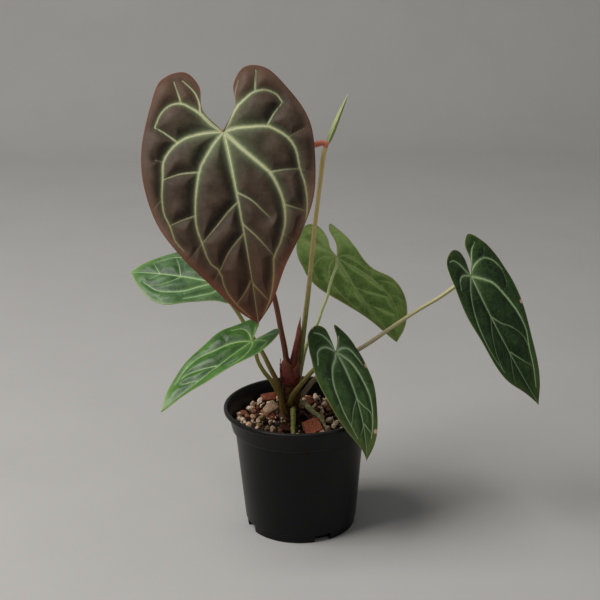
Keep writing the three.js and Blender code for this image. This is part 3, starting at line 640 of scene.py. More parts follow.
class Blade:
    """A leaf blade: flat leaf coordinates, folded, curled and arched into place."""

    def __init__(self, spec):
        self.spec = spec
        self.joint = np.array(spec["joint"], float)
        chord = np.array(spec["tip"], float) - self.joint
        span = np.linalg.norm(chord)
        self.forward = chord / span
        level = UP - UP @ self.forward * self.forward
        level /= np.linalg.norm(level)
        roll = math.radians(spec["roll"])
        side = np.cross(self.forward, level)
        self.up = math.cos(roll) * level + math.sin(roll) * side
        self.right = np.cross(self.forward, self.up)
        self.arch = math.radians(spec["arch"])
        self.length = span * (self.arch / 2) / math.sin(self.arch / 2)
        self.halves = []
        for half, sign in ((spec["right"], 1), (spec["left"], -1)):
            outline = [(0, 0)] + half["outline"] + [(self.length, 0)]
            veins = {
                key: [self.from_midrib(vein, sign) for vein in half[key]]
                for key in ("main", "side", "faint")
            }
            self.halves.append(dict(
                veins,
                sign=sign,
                width=max(across for _, across in half["outline"]),
                fold=math.radians(half["fold"]),
                curl=math.radians(spec["curl"]),
                outline=self.from_midrib(outline, sign),
                scars=[self.from_midrib([place], sign)[0] for place in half.get("scars", [])],
                widths=half.get("widths", []),
            ))

    def bowed(self, along):
        """Sideways place of the midrib: sway 4 t (1 - t), t the share of the length."""
        t = np.clip(along / self.length, 0, 1)
        return self.spec["sway"] * 4 * t * (1 - t)

    def from_midrib(self, points, sign):
        """Points given from the straight line between joint and tip, from the midrib."""
        points = np.array(points, float)
        points[:, 1] -= sign * self.bowed(points[:, 0])
        return points

    def flat(self, u, v, half):
        """Leaf coordinates of the share v along the ruling u.

        The ruling leaves the midrib at length * u^1.3 and ends at the share u of the
        margin. It bows out by 0.2 width 4 v (1 - v) (1 - exp(-(u / 0.12)^2)) (1 - u)^2.
        No point ahead of the joint lies past the midrib.
        """
        margin = smooth_curve(half["outline"], u[:, 0])[:, None]
        start = self.length * u**RULING
        bow = (1 - np.exp(-((u / BOW_START) ** 2))) * (1 - u) ** 2
        along = (1 - v) * start + v * margin[..., 0]
        across = v * margin[..., 1] + BOW * half["width"] * 4 * v * (1 - v) * bow
        return along, np.where(along < 0, across, np.maximum(across, 0))

    def place(self, along, across, half, height):
        """Leaf coordinates and a height to a point in space.

        Across, the surface is an arc that starts at the fold angle and turns by the curl
        up to the half width. Along, it is an arc over the arch angle, straight behind
        the joint.
        """
        bend = half["curl"] / half["width"]
        angle = half["fold"] + bend * across
        tilt = angle * np.clip(across / HINGE, 0, 1)
        sideways = (np.sin(angle) - math.sin(half["fold"])) / bend
        sideways = half["sign"] * (sideways - height * np.sin(tilt)) + self.bowed(along)
        lift = (math.cos(half["fold"]) - np.cos(angle)) / bend + height * np.cos(tilt)
        turn = self.arch / self.length
        start = self.arch / 2
        slope = start - turn * np.maximum(along, 0)
        behind = np.minimum(along, 0)
        ahead = (math.sin(start) - np.sin(slope)) / turn + behind * math.cos(start)
        rise = (np.cos(slope) - math.cos(start)) / turn + behind * math.sin(start)
        return (
            self.joint
            + (ahead - lift * np.sin(slope))[..., None] * self.forward
            + (rise + lift * np.cos(slope))[..., None] * self.up
            + sideways[..., None] * self.right
        )

    def over_midrib(self, along, height):
        """The point in space over or under the midrib, at a height from the blade."""
        along, across, height = np.array([[along], [0], [height]], float)
        return self.place(along, across, self.halves[0], height)[0]

    def vein_reach(self, points, veins, start_width, end_width, factors=()):
        """Least distance to the veins, as a share of their tapering half width, and in mm.

        factors widen the first veins, one each.
        """
        nearest = np.full(points.shape[:-1], 1e6)
        plain = nearest.copy()
        for vein, factor in zip(veins, [*factors] + [1.0] * len(veins)):
            line = smooth_curve(vein, np.linspace(0, 1, VEIN_STEPS)) if len(vein) > 2 else vein
            begin, end = line[:-1], line[1:]
            step = end - begin
            away = points[..., None, :] - begin
            share = np.clip((away * step).sum(-1) / (step * step).sum(-1), 0, 1)
            distance = np.linalg.norm(away - share[..., None] * step, axis=-1)
            run = (np.arange(len(begin)) + share) / len(begin)
            width = (start_width + (end_width - start_width) * run) * factor
            nearest = np.minimum(nearest, (distance / width).min(-1))
            plain = np.minimum(plain, distance.min(-1))
        return nearest, plain

    def surface(self):
        """The closed blade.

        Both faces follow one height: a puff between the veins that dies away towards
        them as 1 - exp(-(d / spread)^2), a shallow groove over each vein, a slow ripple,
        and a wave that grows with the cube of the share towards the margin. The lower
        face lies a thickness below, with ribs under the veins.
        """
        spec = self.spec
        rows, columns, base = spec["rows"], spec["columns"], spec["vein_width"]
        u = np.linspace(0, 1, rows + 1)[1:-1, None]
        v = np.linspace(0, 1, columns + 1)[None, :]
        v = np.broadcast_to(v * (0.75 + 0.25 * v), (rows - 1, columns + 1))
        midrib = np.array([(0.0, 0.0), (self.length, 0.0)])
        sheets = {}
        for index, half in enumerate(self.halves):
            along, across = self.flat(u, v, half)
            points = np.stack([along, across], -1)
            margin = smooth_curve(half["outline"], np.linspace(0, 1, MARGIN_STEPS))
            edge = self.vein_reach(points, [margin], 1, 1)[1]
            main, main_mm = self.vein_reach(
                points, half["main"], base, base * 0.42, half["widths"])
            rib, rib_mm = self.vein_reach(points, [midrib], base * 1.1, base * 0.3)
            main, main_mm = np.minimum(main, rib), np.minimum(main_mm, rib_mm)
            side, side_mm = self.vein_reach(points, half["side"], base * 0.55, base * 0.3)
            faint, faint_mm = self.vein_reach(points, half["faint"], base * 0.3, base * 0.2)

            near = np.minimum(np.minimum(main_mm, side_mm + 1.0), faint_mm + 2.5)
            pillow = 1 - np.exp(-((near / spec["spread"]) ** 2))
            pillow *= 1 - np.exp(-((edge / (spec["spread"] * 1.1)) ** 2))
            groove = np.exp(-((main / 1.6) ** 2)) + 0.5 * np.exp(-((side / 1.5) ** 2))
            fade = np.sin(math.pi * u) ** 0.5
            wave = spec["wave"] * v**3 * np.sin(FULL_TURN * spec["waves"] * u + index * 1.7)
            slow = 0.35 * ripple(points * (1, half["sign"]), 34, 5)
            height = spec["puff"] * pillow * fade * (1 + 0.12 * ripple(points, 17, 8))
            height = height + wave + slow * v * (1 - np.exp(-edge / 6))
            height = height - 0.22 * base * groove
            ribs = 0.9 * (1 - v) * np.exp(-(main**2)) + 0.35 * np.exp(-(side**2))
            ribs = base * (ribs + 0.72 * np.exp(-((rib / 1.1) ** 2)) * (1 - u))
            rim = THICKNESS / 2 * (1 - 0.5 * np.exp(-edge / 0.8))
            scars = [np.linalg.norm(points - place, axis=-1) for place in half["scars"]]
            sideways = across * half["sign"]
            found = dict(
                upper=self.place(along, across, half, height + rim),
                lower=self.place(along, across, half, height - rim - ribs),
                scar=np.min(scars + [np.full(along.shape, FAR)], axis=0),
                main=main, side=side, faint=faint, edge=edge,
                # painted shade and painted light: the quilting's slope towards a fixed light,
                # laid into the colour
                lee=self.lee(along, sideways, spec["puff"] * pillow),
                leaf=np.stack([along, sideways, np.zeros_like(along)], -1),
            )
            for key, value in found.items():
                # The left half comes first, from its margin to beside the midrib
                sheets[key] = (
                    np.concatenate([value[:, :0:-1], sheets[key]], 1) if index else value)
        return self.closed(sheets)

    @staticmethod
    def lee(along, across, height):
        """How far the quilting falls away from the light that comes over the right half, which
        the finish lays into the colour as painted shade and painted light.

        The fall of the height h in leaf coordinates is worked out from the differences
        along the rows i and columns j: J = a_i c_j - a_j c_i, h_c = (a_i h_j - a_j h_i) / J
        and h_a = (h_i c_j - h_j c_i) / J, for along a and across c.
        """
        a_i, a_j = np.gradient(along)
        c_i, c_j = np.gradient(across)
        h_i, h_j = np.gradient(height)
        scale = a_i * c_j - a_j * c_i
        scale = np.where(np.abs(scale) < 1e-6, 1e-6, scale)
        by_across = (a_i * h_j - a_j * h_i) / scale
        by_along = (h_i * c_j - h_j * c_i) / scale
        return np.clip(LIGHT_ACROSS * by_across + LIGHT_ALONG * by_along, -1, 1)

    def closed(self, sheets):
        """The two faces, each with a point at the joint and one at the tip, and the rim."""
        upper, lower = sheets.pop("upper"), sheets.pop("lower")
        rows, columns = upper.shape[:2]
        count = rows * columns
        lip = THICKNESS / 2
        points = np.vstack([
            upper.reshape(-1, 3),
            lower.reshape(-1, 3),
            self.over_midrib(0, lip),
            self.over_midrib(self.length, lip * 0.6),
            self.over_midrib(0, -lip - self.spec["vein_width"]),
            self.over_midrib(self.length, -lip * 0.6),
        ])

        def sheet(start, joint, tip):
            """Quads and end fans of one face, from its first point and its two poles."""
            edge = np.arange(columns - 1) + start
            last = edge + (rows - 1) * columns
            return [
                grid_quads(rows, columns, start=start),
                np.stack([edge + 1, edge, np.full(columns - 1, joint)], -1),
                np.stack([last, last + 1, np.full(columns - 1, tip)], -1),
            ]

        def margin(start, joint, tip):
            """The face's outer points, from the joint round the tip."""
            row = np.arange(rows) * columns + start
            return np.r_[joint, row + columns - 1, tip, row[::-1]]

        above, below = (0, 2 * count, 2 * count + 1), (count, 2 * count + 2, 2 * count + 3)
        ring, ring_under = margin(*above), margin(*below)
        rim = np.stack([ring, np.roll(ring, -1), np.roll(ring_under, -1), ring_under], -1)
        faces = [group[:, ::-1] for group in sheet(*above)] + sheet(*below) + [rim]
        values = {}
        for key, value in sheets.items():
            value = value.reshape((-1,) + value.shape[2:])
            poles = np.zeros((4,) + value.shape[1:])
            if key == "leaf":
                poles[[1, 3], 0] = self.length
            elif key in ("side", "faint", "scar"):
                poles += FAR
            values[key] = np.concatenate([value, value, poles])
        values["under"] = np.r_[np.zeros(count), np.ones(count), 0, 0, 1, 1]
        return oriented(points, faces, values)


# Stalks, stem, roots and scales

STALKS = {
    "a": dict(
        path=[(-8.4, -0.4, 120.4), (-8.6, -0.8, 127), (-9.2, -1.8, 134), (-10.4, -3, 148),
              (-13.2, -5, 166), (-17.3, -7, 191), (-26.4, -8, 228), (-36.1, -7, 263.5),
              (-44.3, -4, 294), (-50, -3.5, 312.5)],
        radii=[2.4, 2.1, 1.9, 1.8, 2.2], slot="red_brown_stalk",
        low=(110, 54, 38), high=(120, 76, 46), streak=(150, 110, 72),
    ),
    "b": dict(
        path=[(-9.6, 0.4, 94.5), (-11.8, -1.6, 98.5), (-13.3, -3, 104), (-14.4, -3.8, 112),
              (-17.4, -4, 122.5), (-22.4, -4, 133.6), (-28.4, -3, 146.8), (-37.5, -1, 162),
              (-47.5, 3, 179), (-57, 8, 190)],
        radii=[2.2, 2, 1.7, 1.5, 1.7], slot="olive_stalk",
        low=(126, 92, 52), high=(148, 148, 72), streak=(194, 182, 112),
    ),
    "c": dict(
        path=[(-9.2, -5, 93.5), (-11.6, -6.8, 97.5), (-13.4, -8, 103), (-15.2, -8.4, 111.4),
              (-20.9, -12, 125), (-26.8, -18, 136), (-31, -25, 147.5)],
        radii=[2.1, 1.9, 1.7, 1.5, 1.7], slot="olive_stalk",
        low=(130, 100, 48), high=(142, 142, 68), streak=(188, 176, 104),
    ),
    "d": dict(
        path=[(-3.2, 4.6, 109), (-1.5, 6, 113), (0.4, 7, 120.3), (2.8, 8, 131.8),
              (5.4, 9, 143.2), (10.2, 11, 155.1), (15.9, 13, 165), (19.2, 14.5, 174.4),
              (23.3, 16, 184.5), (25.6, 17, 194), (28.6, 17, 203.5)],
        radii=[1.8, 1.55, 1.25, 1.1, 1.1], slot="pale_green_stalk",
        low=(174, 176, 122), high=(198, 210, 150), streak=(222, 230, 180),
    ),
    "e": dict(
        path=[(-3.4, 2, 102), (-0.6, 2.4, 105), (4.8, 4, 110), (11.3, 5, 118.3),
              (24.9, 6, 128.8), (38.4, 6, 138.4), (56.6, 6, 149.8), (72.3, 6, 161.3),
              (94, 5.5, 176.4), (111, 5.5, 186.8), (121.5, 5.5, 194.5)],
        radii=[2.1, 1.9, 1.6, 1.5, 1.7], slot="tan_stalk",
        low=(168, 142, 120), high=(178, 172, 124), streak=(206, 198, 164),
    ),
    "f": dict(
        path=[(-7.6, -4.4, 102.5), (-7.2, -8, 106), (-4.7, -10, 113), (0.9, -11, 121),
              (8.1, -11.5, 130.3), (16, -11, 138.4)],
        radii=[2.2, 2, 1.8, 1.7, 1.8], slot="olive_stalk",
        low=(124, 100, 46), high=(152, 142, 76), streak=(182, 168, 104),
    ),
}

FLOWER_STALK = dict(
    path=[(-3.4, 3.6, 120.4), (-0.9, 3, 127.5), (1.2, 3, 137), (3, 3, 150),
          (5.6, 2.4, 170.6), (7.9, 1.6, 189), (10.5, 1, 211.6), (12.3, 1, 229),
          (14.8, 1.2, 251.6), (17.2, 2, 270), (19.9, 3, 290.7), (21.7, 3, 303),
          (22.9, 3, 307.6)],
    radii=[2.3, 2, 1.8, 1.7, 1.9], slot="flower_stalk_green",
    low=(106, 110, 46), high=(216, 194, 124), streak=(226, 214, 160),
)

SPADIX = dict(
    path=[(23, 3, 308.4), (23.5, 3.1, 310.8), (21.6, 3.7, 311.6), (18.2, 4.6, 310.8),
          (12, 6, 308.9), (1, 8.4, 305.4), (-11, 11, 300.5), (-26, 14.4, 294)],
    radii=[1.7, 2.1, 2.4, 2.3, 2.2, 1.9, 1.1], knob_pitch=1.15, knobs_round=12,
)

STEM = dict(
    path=[(-8, 0.5, 80), (-7.6, 1, 92), (-6.8, 1.8, 104), (-6.4, 2, 117.8)],
    radii=[6.6, 8.4, 7.2, 7.6, 6.6],
)

ROOTS = {
    "root_front": dict(
        path=[(-4.6, -3.6, 98.5), (-4.9, -9, 100.3), (-4.8, -17, 98), (-5, -27, 95.4),
              (-5.2, -35, 92.6), (-5.4, -39, 87)],
        radii=[2.1, 1.95, 1.8, 1.7, 1.1], slot="green_root",
        color=(178, 174, 104), dark=(128, 120, 66),
    ),
    "root_right": dict(
        path=[(-1.6, 1.4, 97.5), (2.8, 1, 101), (6.2, -3, 100.4), (10.6, -8.4, 97.6),
              (16.6, -13.6, 94.6), (20.4, -16.6, 88)],
        radii=[2.2, 2.2, 2, 1.9, 1.2], slot="tan_root",
        color=(216, 208, 166), dark=(158, 146, 106),
    ),
    "root_thin": dict(
        path=[(-2.2, -2.6, 96), (1.4, -6.4, 97.6), (5.4, -10.4, 96.2), (9.4, -13.2, 91),
              (10.4, -14, 86)],
        radii=[0.9, 0.9, 0.8, 0.8, 0.6], slot="purple_root",
        color=(98, 72, 78), dark=(52, 34, 38),
    ),
}

# Burgundy scales round the top of the stem: the middle line, the radius of the curl
# along it, and the half angle that it wraps, both from foot to tip, and the way it faces.
SCALES = [
    dict(path=[(-6.4, 1, 117.6), (-6.8, 0.2, 123), (-8, -1, 131), (-10, -3.2, 143)],
         radii=[6.3, 7.2, 4.8, 1.7], wrap=[165, 140, 100, 10], facing=-125),
    dict(path=[(-6.2, 0.8, 117.8), (-5.4, 0.4, 123), (-3.6, -0.4, 130), (-1.4, -1.6, 139)],
         radii=[6.0, 6.8, 4.8, 1.8], wrap=[150, 120, 80, 8], facing=-40),
    dict(path=[(-6.6, 1.4, 118.2), (-7.8, 1.6, 124), (-9.6, 1, 131), (-13.2, -1.4, 140.5)],
         radii=[5.9, 6.6, 4.4, 1.2], wrap=[130, 90, 55, 6], facing=185),
    dict(path=[(-6.4, 1.2, 118.4), (-6.2, 2.2, 124), (-6.4, 3.4, 131), (-7.4, 5.4, 138)],
         radii=[5.8, 6.7, 5.0, 1.8], wrap=[140, 110, 70, 6], facing=95),
    dict(path=[(-4.6, -0.6, 122), (-3.4, -0.4, 138), (-1, 1, 150), (1.1, 1.8, 160),
               (2.9, 2.3, 174)],
         radii=[4.2, 3.5, 3.0, 2.6, 1.4], wrap=[140, 120, 100, 70, 5], facing=-120),
    dict(path=[(-13, -2.6, 121), (-13.6, -3.4, 129), (-14.2, -4.2, 141)],
         radii=[1.7, 1.2, 0.3], wrap=[90, 60, 8], facing=-110),
]

SCALE_THICKNESS = 0.45
SCALE_ROWS, SCALE_COLUMNS = 34, 26


def scale_surface(spec):
    """A curled scale: a strip wrapped about a middle line.

    Point(s, t) = path(s) + r(s) (cos(w(s) t + f) A + sin(w(s) t + f) B) for t from -1 to
    1, where r is the radius, w the half wrap, f the facing, and A and B lie level. The
    inner face is a thickness nearer to the line, less so towards the edges.
    """
    rows, columns = SCALE_ROWS, SCALE_COLUMNS
    s = np.linspace(0, 1, rows)
    t = np.linspace(-1, 1, columns)
    line = smooth_curve(spec["path"], s)[:, None]
    radius = blend_values(spec["radii"], s)[:, None]
    wrap = np.radians(np.interp(s, np.linspace(0, 1, len(spec["wrap"])), spec["wrap"]))
    angle = math.radians(spec["facing"]) + wrap[:, None] * t
    level = np.stack([np.cos(angle), np.sin(angle), np.zeros_like(angle)], -1)
    seed = abs(spec["facing"])
    wide = radius + 0.12 * ripple(np.stack([s[:, None] * 6 + 0 * t, angle * 3], -1), 3, seed)
    thin = SCALE_THICKNESS * (0.35 + 0.65 * (1 - t**2))
    outer = line + wide[..., None] * level
    inner = line + (wide - thin)[..., None] * level
    quads = grid_quads(rows, columns)
    loop = np.r_[
        np.arange(columns),
        np.arange(1, rows) * columns + columns - 1,
        (rows - 1) * columns + np.arange(columns - 2, -1, -1),
        np.arange(rows - 2, 0, -1) * columns,
    ]
    count = rows * columns
    rim = np.stack([loop, np.roll(loop, -1), np.roll(loop, -1) + count, loop + count], -1)
    faces = [quads, quads[:, ::-1] + count, rim[:, ::-1]]
    points = np.vstack([outer.reshape(-1, 3), inner.reshape(-1, 3)])
    values = {"along": np.tile(np.repeat(s, columns), 2), "around": np.tile(t, 2 * rows)}
    return oriented(points, faces, values)


# Pot and mix

POT = dict(
    height=101, rim_radius=60, rim_inner=57, rim_depth=3.6, collar_top=56.6,
    collar_foot=53.4, collar_z=82.3, body_top=51.3, middle_z=45, band_z=6.5,
    band_radius=43.9, foot_radius=43.3, ring_radius=40.6, step=0.7, wall=1.5,
    floor_under=1.6, floor_top=4.6, notch_top=5.6, notch_inner=40.0, first_notch=-67.0,
    notches=4, rounding=0.7,
)
POT_COLUMNS = 240
NOTCH_HALF = 6  # columns on either side of a notch's middle


def body_radius(z):
    """Outer radius of the pot's plain wall at a height."""
    foot = POT["band_radius"] + POT["step"]
    share = (z - POT["band_z"]) / (POT["collar_z"] - POT["band_z"])
    return foot + (POT["body_top"] - foot) * share


def rounded_profile(corners, radius):
    """The profile with its corners cut short by curves, apart from the marked ones, and
    where each mark lies in it."""
    points = []
    marks = {}
    for index, (r, z, mark) in enumerate(corners):
        here = np.array([r, z], float)
        if mark is not None:
            marks[mark] = len(points)
            points.append(here)
            continue
        before = np.array(corners[index - 1][:2], float)
        after = np.array(corners[index + 1][:2], float)
        back, on = before - here, after - here
        cut = min(radius, 0.45 * np.linalg.norm(back), 0.45 * np.linalg.norm(on))
        start = here + back / np.linalg.norm(back) * cut
        end = here + on / np.linalg.norm(on) * cut
        for t in (0.0, 0.25, 0.5, 0.75, 1.0):
            points.append((1 - t) ** 2 * start + 2 * t * (1 - t) * here + t * t * end)
    return np.array(points), marks


def pot_profile():
    """The pot's outline from the floor's underside round the lip and back to the floor."""
    p = POT
    rim_foot = p["height"] - p["rim_depth"]
    inner = body_radius(p["notch_top"]) - p["wall"]
    outer = p["foot_radius"] + (p["band_radius"] - p["foot_radius"]) * (
        p["notch_top"] / p["band_z"]
    )
    return rounded_profile([
        (p["notch_inner"], p["floor_under"], "under_in"),
        (p["ring_radius"], p["floor_under"], None),
        (p["ring_radius"] + 0.6, 0, None),
        (p["foot_radius"], 0, None),
        (outer, p["notch_top"], "outer_top"),
        (p["band_radius"], p["band_z"], None),
        (p["band_radius"] + p["step"], p["band_z"] + 0.4, None),
        (body_radius(p["middle_z"]), p["middle_z"], "middle"),
        (p["body_top"], p["collar_z"], None),
        (p["collar_foot"], p["collar_z"] + 0.3, None),
        (p["collar_foot"] + 0.4, p["collar_z"] + 1.4, None),
        (p["collar_top"], rim_foot - 0.4, None),
        (p["rim_radius"] - 0.6, rim_foot, None),
        (p["rim_radius"], rim_foot + 0.8, None),
        (p["rim_radius"], p["height"] - 0.8, None),
        (p["rim_radius"] - 0.8, p["height"], None),
        (p["rim_inner"] + 0.6, p["height"], None),
        (p["rim_inner"], p["height"] - 0.8, None),
        (p["collar_top"] - p["wall"], rim_foot - 0.6, None),
        (p["collar_foot"] - p["wall"] + 0.3, p["collar_z"] + 1.2, None),
        (p["body_top"] - p["wall"], p["collar_z"] - 0.9, None),
        (body_radius(p["middle_z"]) - p["wall"], p["middle_z"], "inner_middle"),
        (inner, p["notch_top"], "inner_top"),
        (body_radius(p["floor_top"]) - p["wall"] - 1, p["floor_top"], None),
        (p["notch_inner"], p["floor_top"], "floor_in"),
    ], p["rounding"])


def pot_surface():
    """The pot turned from its profile, with the drainage notches left open and walled.

    Point(i, j) = (r_i cos a_j, r_i sin a_j, z_i). Within a notch the strips of the
    profile from the floor's underside round the foot to the notch's top are left out,
    outside and inside, and walls join what remains.
    """
    profile, marks = pot_profile()
    angle = math.radians(POT["first_notch"]) + np.arange(POT_COLUMNS) * (
        FULL_TURN / POT_COLUMNS
    )
    points = np.stack([
        profile[:, :1] * np.cos(angle),
        profile[:, :1] * np.sin(angle),
        np.repeat(profile[:, 1:], POT_COLUMNS, 1),
    ], -1).reshape(-1, 3)
    points = np.vstack([points, (0, 0, POT["floor_under"]), (0, 0, POT["floor_top"])])
    quads = grid_quads(len(profile), POT_COLUMNS, wrap=True)
    strip, column = quads[:, 0] // POT_COLUMNS, quads[:, 0] % POT_COLUMNS
    spacing = POT_COLUMNS // POT["notches"]

    def within(columns):
        return (columns + NOTCH_HALF) % spacing < 2 * NOTCH_HALF

    outside = (strip >= marks["under_in"]) & (strip < marks["outer_top"])
    inside = (strip >= marks["inner_top"]) & (strip < marks["floor_in"])
    quads = quads[~(within(column) & (outside | inside))]
    ring = np.arange(POT_COLUMNS)
    in_notch = ring[within(ring)]
    next_in = (in_notch + 1) % POT_COLUMNS

    def wall_between(first, second):
        """Faces across the notches from one mark's ring to another's."""
        first, second = marks[first] * POT_COLUMNS, marks[second] * POT_COLUMNS
        return np.stack(
            [in_notch + second, next_in + second, next_in + first, in_notch + first], -1)

    section = np.r_[
        np.arange(marks["under_in"], marks["outer_top"] + 1),
        np.arange(marks["inner_top"], marks["floor_in"] + 1),
    ] * POT_COLUMNS
    cheeks = []
    for middle in range(0, POT_COLUMNS, spacing):
        cheeks.append((section + (middle - NOTCH_HALF) % POT_COLUMNS)[::-1])
        cheeks.append(section + middle + NOTCH_HALF)
    faces = [
        quads, *pole_fans(len(profile), POT_COLUMNS), wall_between("outer_top", "inner_top"),
        wall_between("floor_in", "under_in"), np.array(cheeks),
    ]
    return oriented(points, faces, {})


STONE, BARK, CORE = 0, 1, 2  # kinds of the mix, told apart by its finish
MIX = dict(
    middle=91.0, wall=88.0, lean=0.02, wall_radius=52.0, core_sunk=4.4, core_rings=40,
    core_columns=120, pumice=190, bark=120, crumbs=460, seed=7,
)
# Chips with a place of their own: x, y, length, width, thickness, turn, lean to the front
# and tint
PLACED = [
    (9.8, -26.5, 15, 13, 5, 24, 50, 1.0), (-11, -25, 10, 6, 4, -14, 30, 0.5),
    (-25, 38, 14, 8, 5, 10, 25, 0.86), (-23.5, 12, 14, 10, 5, 35, 35, 0.99),
]
# Grains with a place of their own: x, y, size, tint
GRAINS = [
    (-38, 30, 5, 0.3), (-32, 35, 6, 0.0), (-48, 9, 5.5, 0.5), (-48, 1, 5, 0.3), (-45, -2, 5, 0.1),
    (-40, -12, 5.5, 0.7), (-37, 13, 5, 0.95), (-33, -6, 4.5, 0.5), (-30, -3, 6.5, 0.87),
    (-32, -15, 5, 0.87), (-25, -22, 5.5, 0.87), (-21, -23, 5, 0.6), (-15, -27, 5, 0.97),
    (-14, -6, 3, 0.0), (-23, -10, 3.5, 0.1), (-2, -34, 5, 0.1), (14, 37, 6.5, 0.1),
    (24, -9, 7.5, 0.15), (29, -13, 5.5, 0.1), (27, -18, 5, 0.2), (21.5, -24, 6, 0.1),
    (18, -30, 5, 0.3), (13, 20, 3.5, 0.6), (-42, 5, 4, 0.97), (-37, -7, 4, 0.7),
    (-43, -8, 4.5, 0.4), (-40, 20, 4, 0.2), (33, -8, 5, 0.3), (31, 4, 5, 0.5),
]
# Heaps of pale grains: x, y, radius
PALE_HEAPS = [
    (27, -18, 13), (-42, 2, 12), (-31, -19, 10), (-36, 36, 10), (16, 40, 9), (38, 10, 9),
]
PALE_ELSEWHERE = 0.42
DRAWS = 14  # for each scattered place, of which the one furthest from the rest is taken
ANY_WAY = 3.1  # tilt of a grain that may lie any way up


def mix_height(x, y):
    """Height of the mix: a low dome that sinks to the wall and leans to the front."""
    share = np.minimum(np.hypot(x, y) / 50, 1)
    dome = MIX["middle"] + (MIX["wall"] - MIX["middle"]) * share**2
    return dome + MIX["lean"] * y


def ball(subdivisions):
    """Directions and faces of a ball made of even triangles."""
    form = bmesh.new()
    bmesh.ops.create_icosphere(form, subdivisions=subdivisions, radius=1.0)
    directions = np.array([vertex.co[:] for vertex in form.verts])
    faces = np.array([[vertex.index for vertex in face.verts] for face in form.faces])
    form.free()
    return directions, faces


def turns_about(axis, angle):
    """Rotation matrices about x, y or z (0, 1 or 2), one for each angle."""
    first, second = (axis + 1) % 3, (axis + 2) % 3
    turns = np.zeros(angle.shape + (3, 3))
    turns[:, axis, axis] = 1
    turns[:, first, first] = turns[:, second, second] = np.cos(angle)
    turns[:, first, second] = -np.sin(angle)
    turns[:, second, first] = np.sin(angle)
    return turns


def random_turns(random, count, tilt):
    """Rotation matrices: a turn about the upright, then a tilt of up to the given angle."""
    turn = random.uniform(0, FULL_TURN, count)
    lean = random.uniform(-tilt, tilt, count)
    roll = random.uniform(-tilt, tilt, count)
    return turns_about(2, turn) @ turns_about(0, lean) @ turns_about(1, roll)


def chunks_surface(random, centres, sizes, turns, form, boxiness, rough, kind, facets=7):
    """Many chunks at once from one ball of directions d.

    A chunk is sign(d) |d|^b over the length of that to the power b^0.75, for the
    boxiness b from 1 for a ball to near 0 for a box. It is scaled by its half length,
    width and thickness, and by 1 + rough / 2 times a sum of cosines along random
    directions. Random planes cut facets: what lies beyond one is pressed back to it.
    """
    directions, faces = form
    count, corners = len(centres), len(directions)
    shape = np.sign(directions) * np.abs(directions) ** boxiness
    shape = shape / np.linalg.norm(shape, axis=1, keepdims=True) ** boxiness**0.75
    bumps = np.zeros((count, corners))
    for waves in (1.6, 2.7, 4.6):
        for _ in range(4):
            along = random.normal(size=(count, 3))
            along *= waves / np.linalg.norm(along, axis=1, keepdims=True)
            phase = random.uniform(0, 6.3, (count, 1))
            bumps += np.cos(along @ directions.T * 1.7 + phase) / waves
    points = shape[None] * (1 + rough * bumps / 2)[..., None]
    for _ in range(facets):
        normal = random.normal(size=(count, 1, 3))
        normal /= np.linalg.norm(normal, axis=-1, keepdims=True)
        level = random.uniform(0.62, 0.92, (count, 1))
        above = np.maximum((points * normal).sum(-1) - level, 0)
        points = points - above[..., None] * normal
    points = points * sizes[:, None, :]
    points = np.einsum("nij,nkj->nki", turns, points) + centres[:, None, :]
    index = faces[None] + (np.arange(count) * corners)[:, None, None]
    values = {
        "kind": np.full(count * corners, float(kind)),
        "tint": np.repeat(random.random(count), corners),
    }
    return points.reshape(-1, 3), [index.reshape(-1, 3)], values


def tinted(chunks, tints):
    """Chunks with tints of their own in place of the random ones."""
    values = chunks[2]
    values["tint"] = np.repeat(tints, len(values["tint"]) // len(tints))
    return chunks


def scattered(random, count, radius, spacing):
    """Places on a disc, each the best of several draws: the one furthest from the rest."""
    places = np.zeros((count, 2))
    for index in range(count):
        reach = radius * np.sqrt(random.random(DRAWS))
        angle = random.uniform(0, FULL_TURN, DRAWS)
        options = np.stack([reach * np.cos(angle), reach * np.sin(angle)], -1)
        gaps = np.zeros(DRAWS)
        if index:
            gaps = np.linalg.norm(options[:, None] - places[None, :index], axis=-1).min(1)
        places[index] = options[np.argmax(np.minimum(gaps, spacing))]
    return places


def clear_of_plant(places, sizes):
    """Tells which chunks would lie clear of the stem and the roots."""
    clear = np.linalg.norm(places - STEM["path"][1][:2], axis=1) > 8.0 + sizes * 0.6
    for root in ROOTS.values():
        line = smooth_curve(root["path"], np.linspace(0, 0.9, 30))[:, :2]
        gap = np.linalg.norm(places[:, None] - line[None], axis=-1).min(1)
        clear &= gap > root["radii"][0] * 0.9 + sizes * 0.45
    return clear


def pale_share(places):
    """Share of the pale grains that lie open: 1 in the heaps, low elsewhere."""
    share = np.full(len(places), PALE_ELSEWHERE)
    for x, y, radius in PALE_HEAPS:
        gap = np.hypot(places[:, 0] - x, places[:, 1] - y)
        share = np.maximum(share, np.exp(-((gap / radius) ** 4)))
    return share


def on_the_mix(places, lift):
    """Points at a height above the smooth top of the mix."""
    return np.column_stack([places, mix_height(*places.T) + lift])


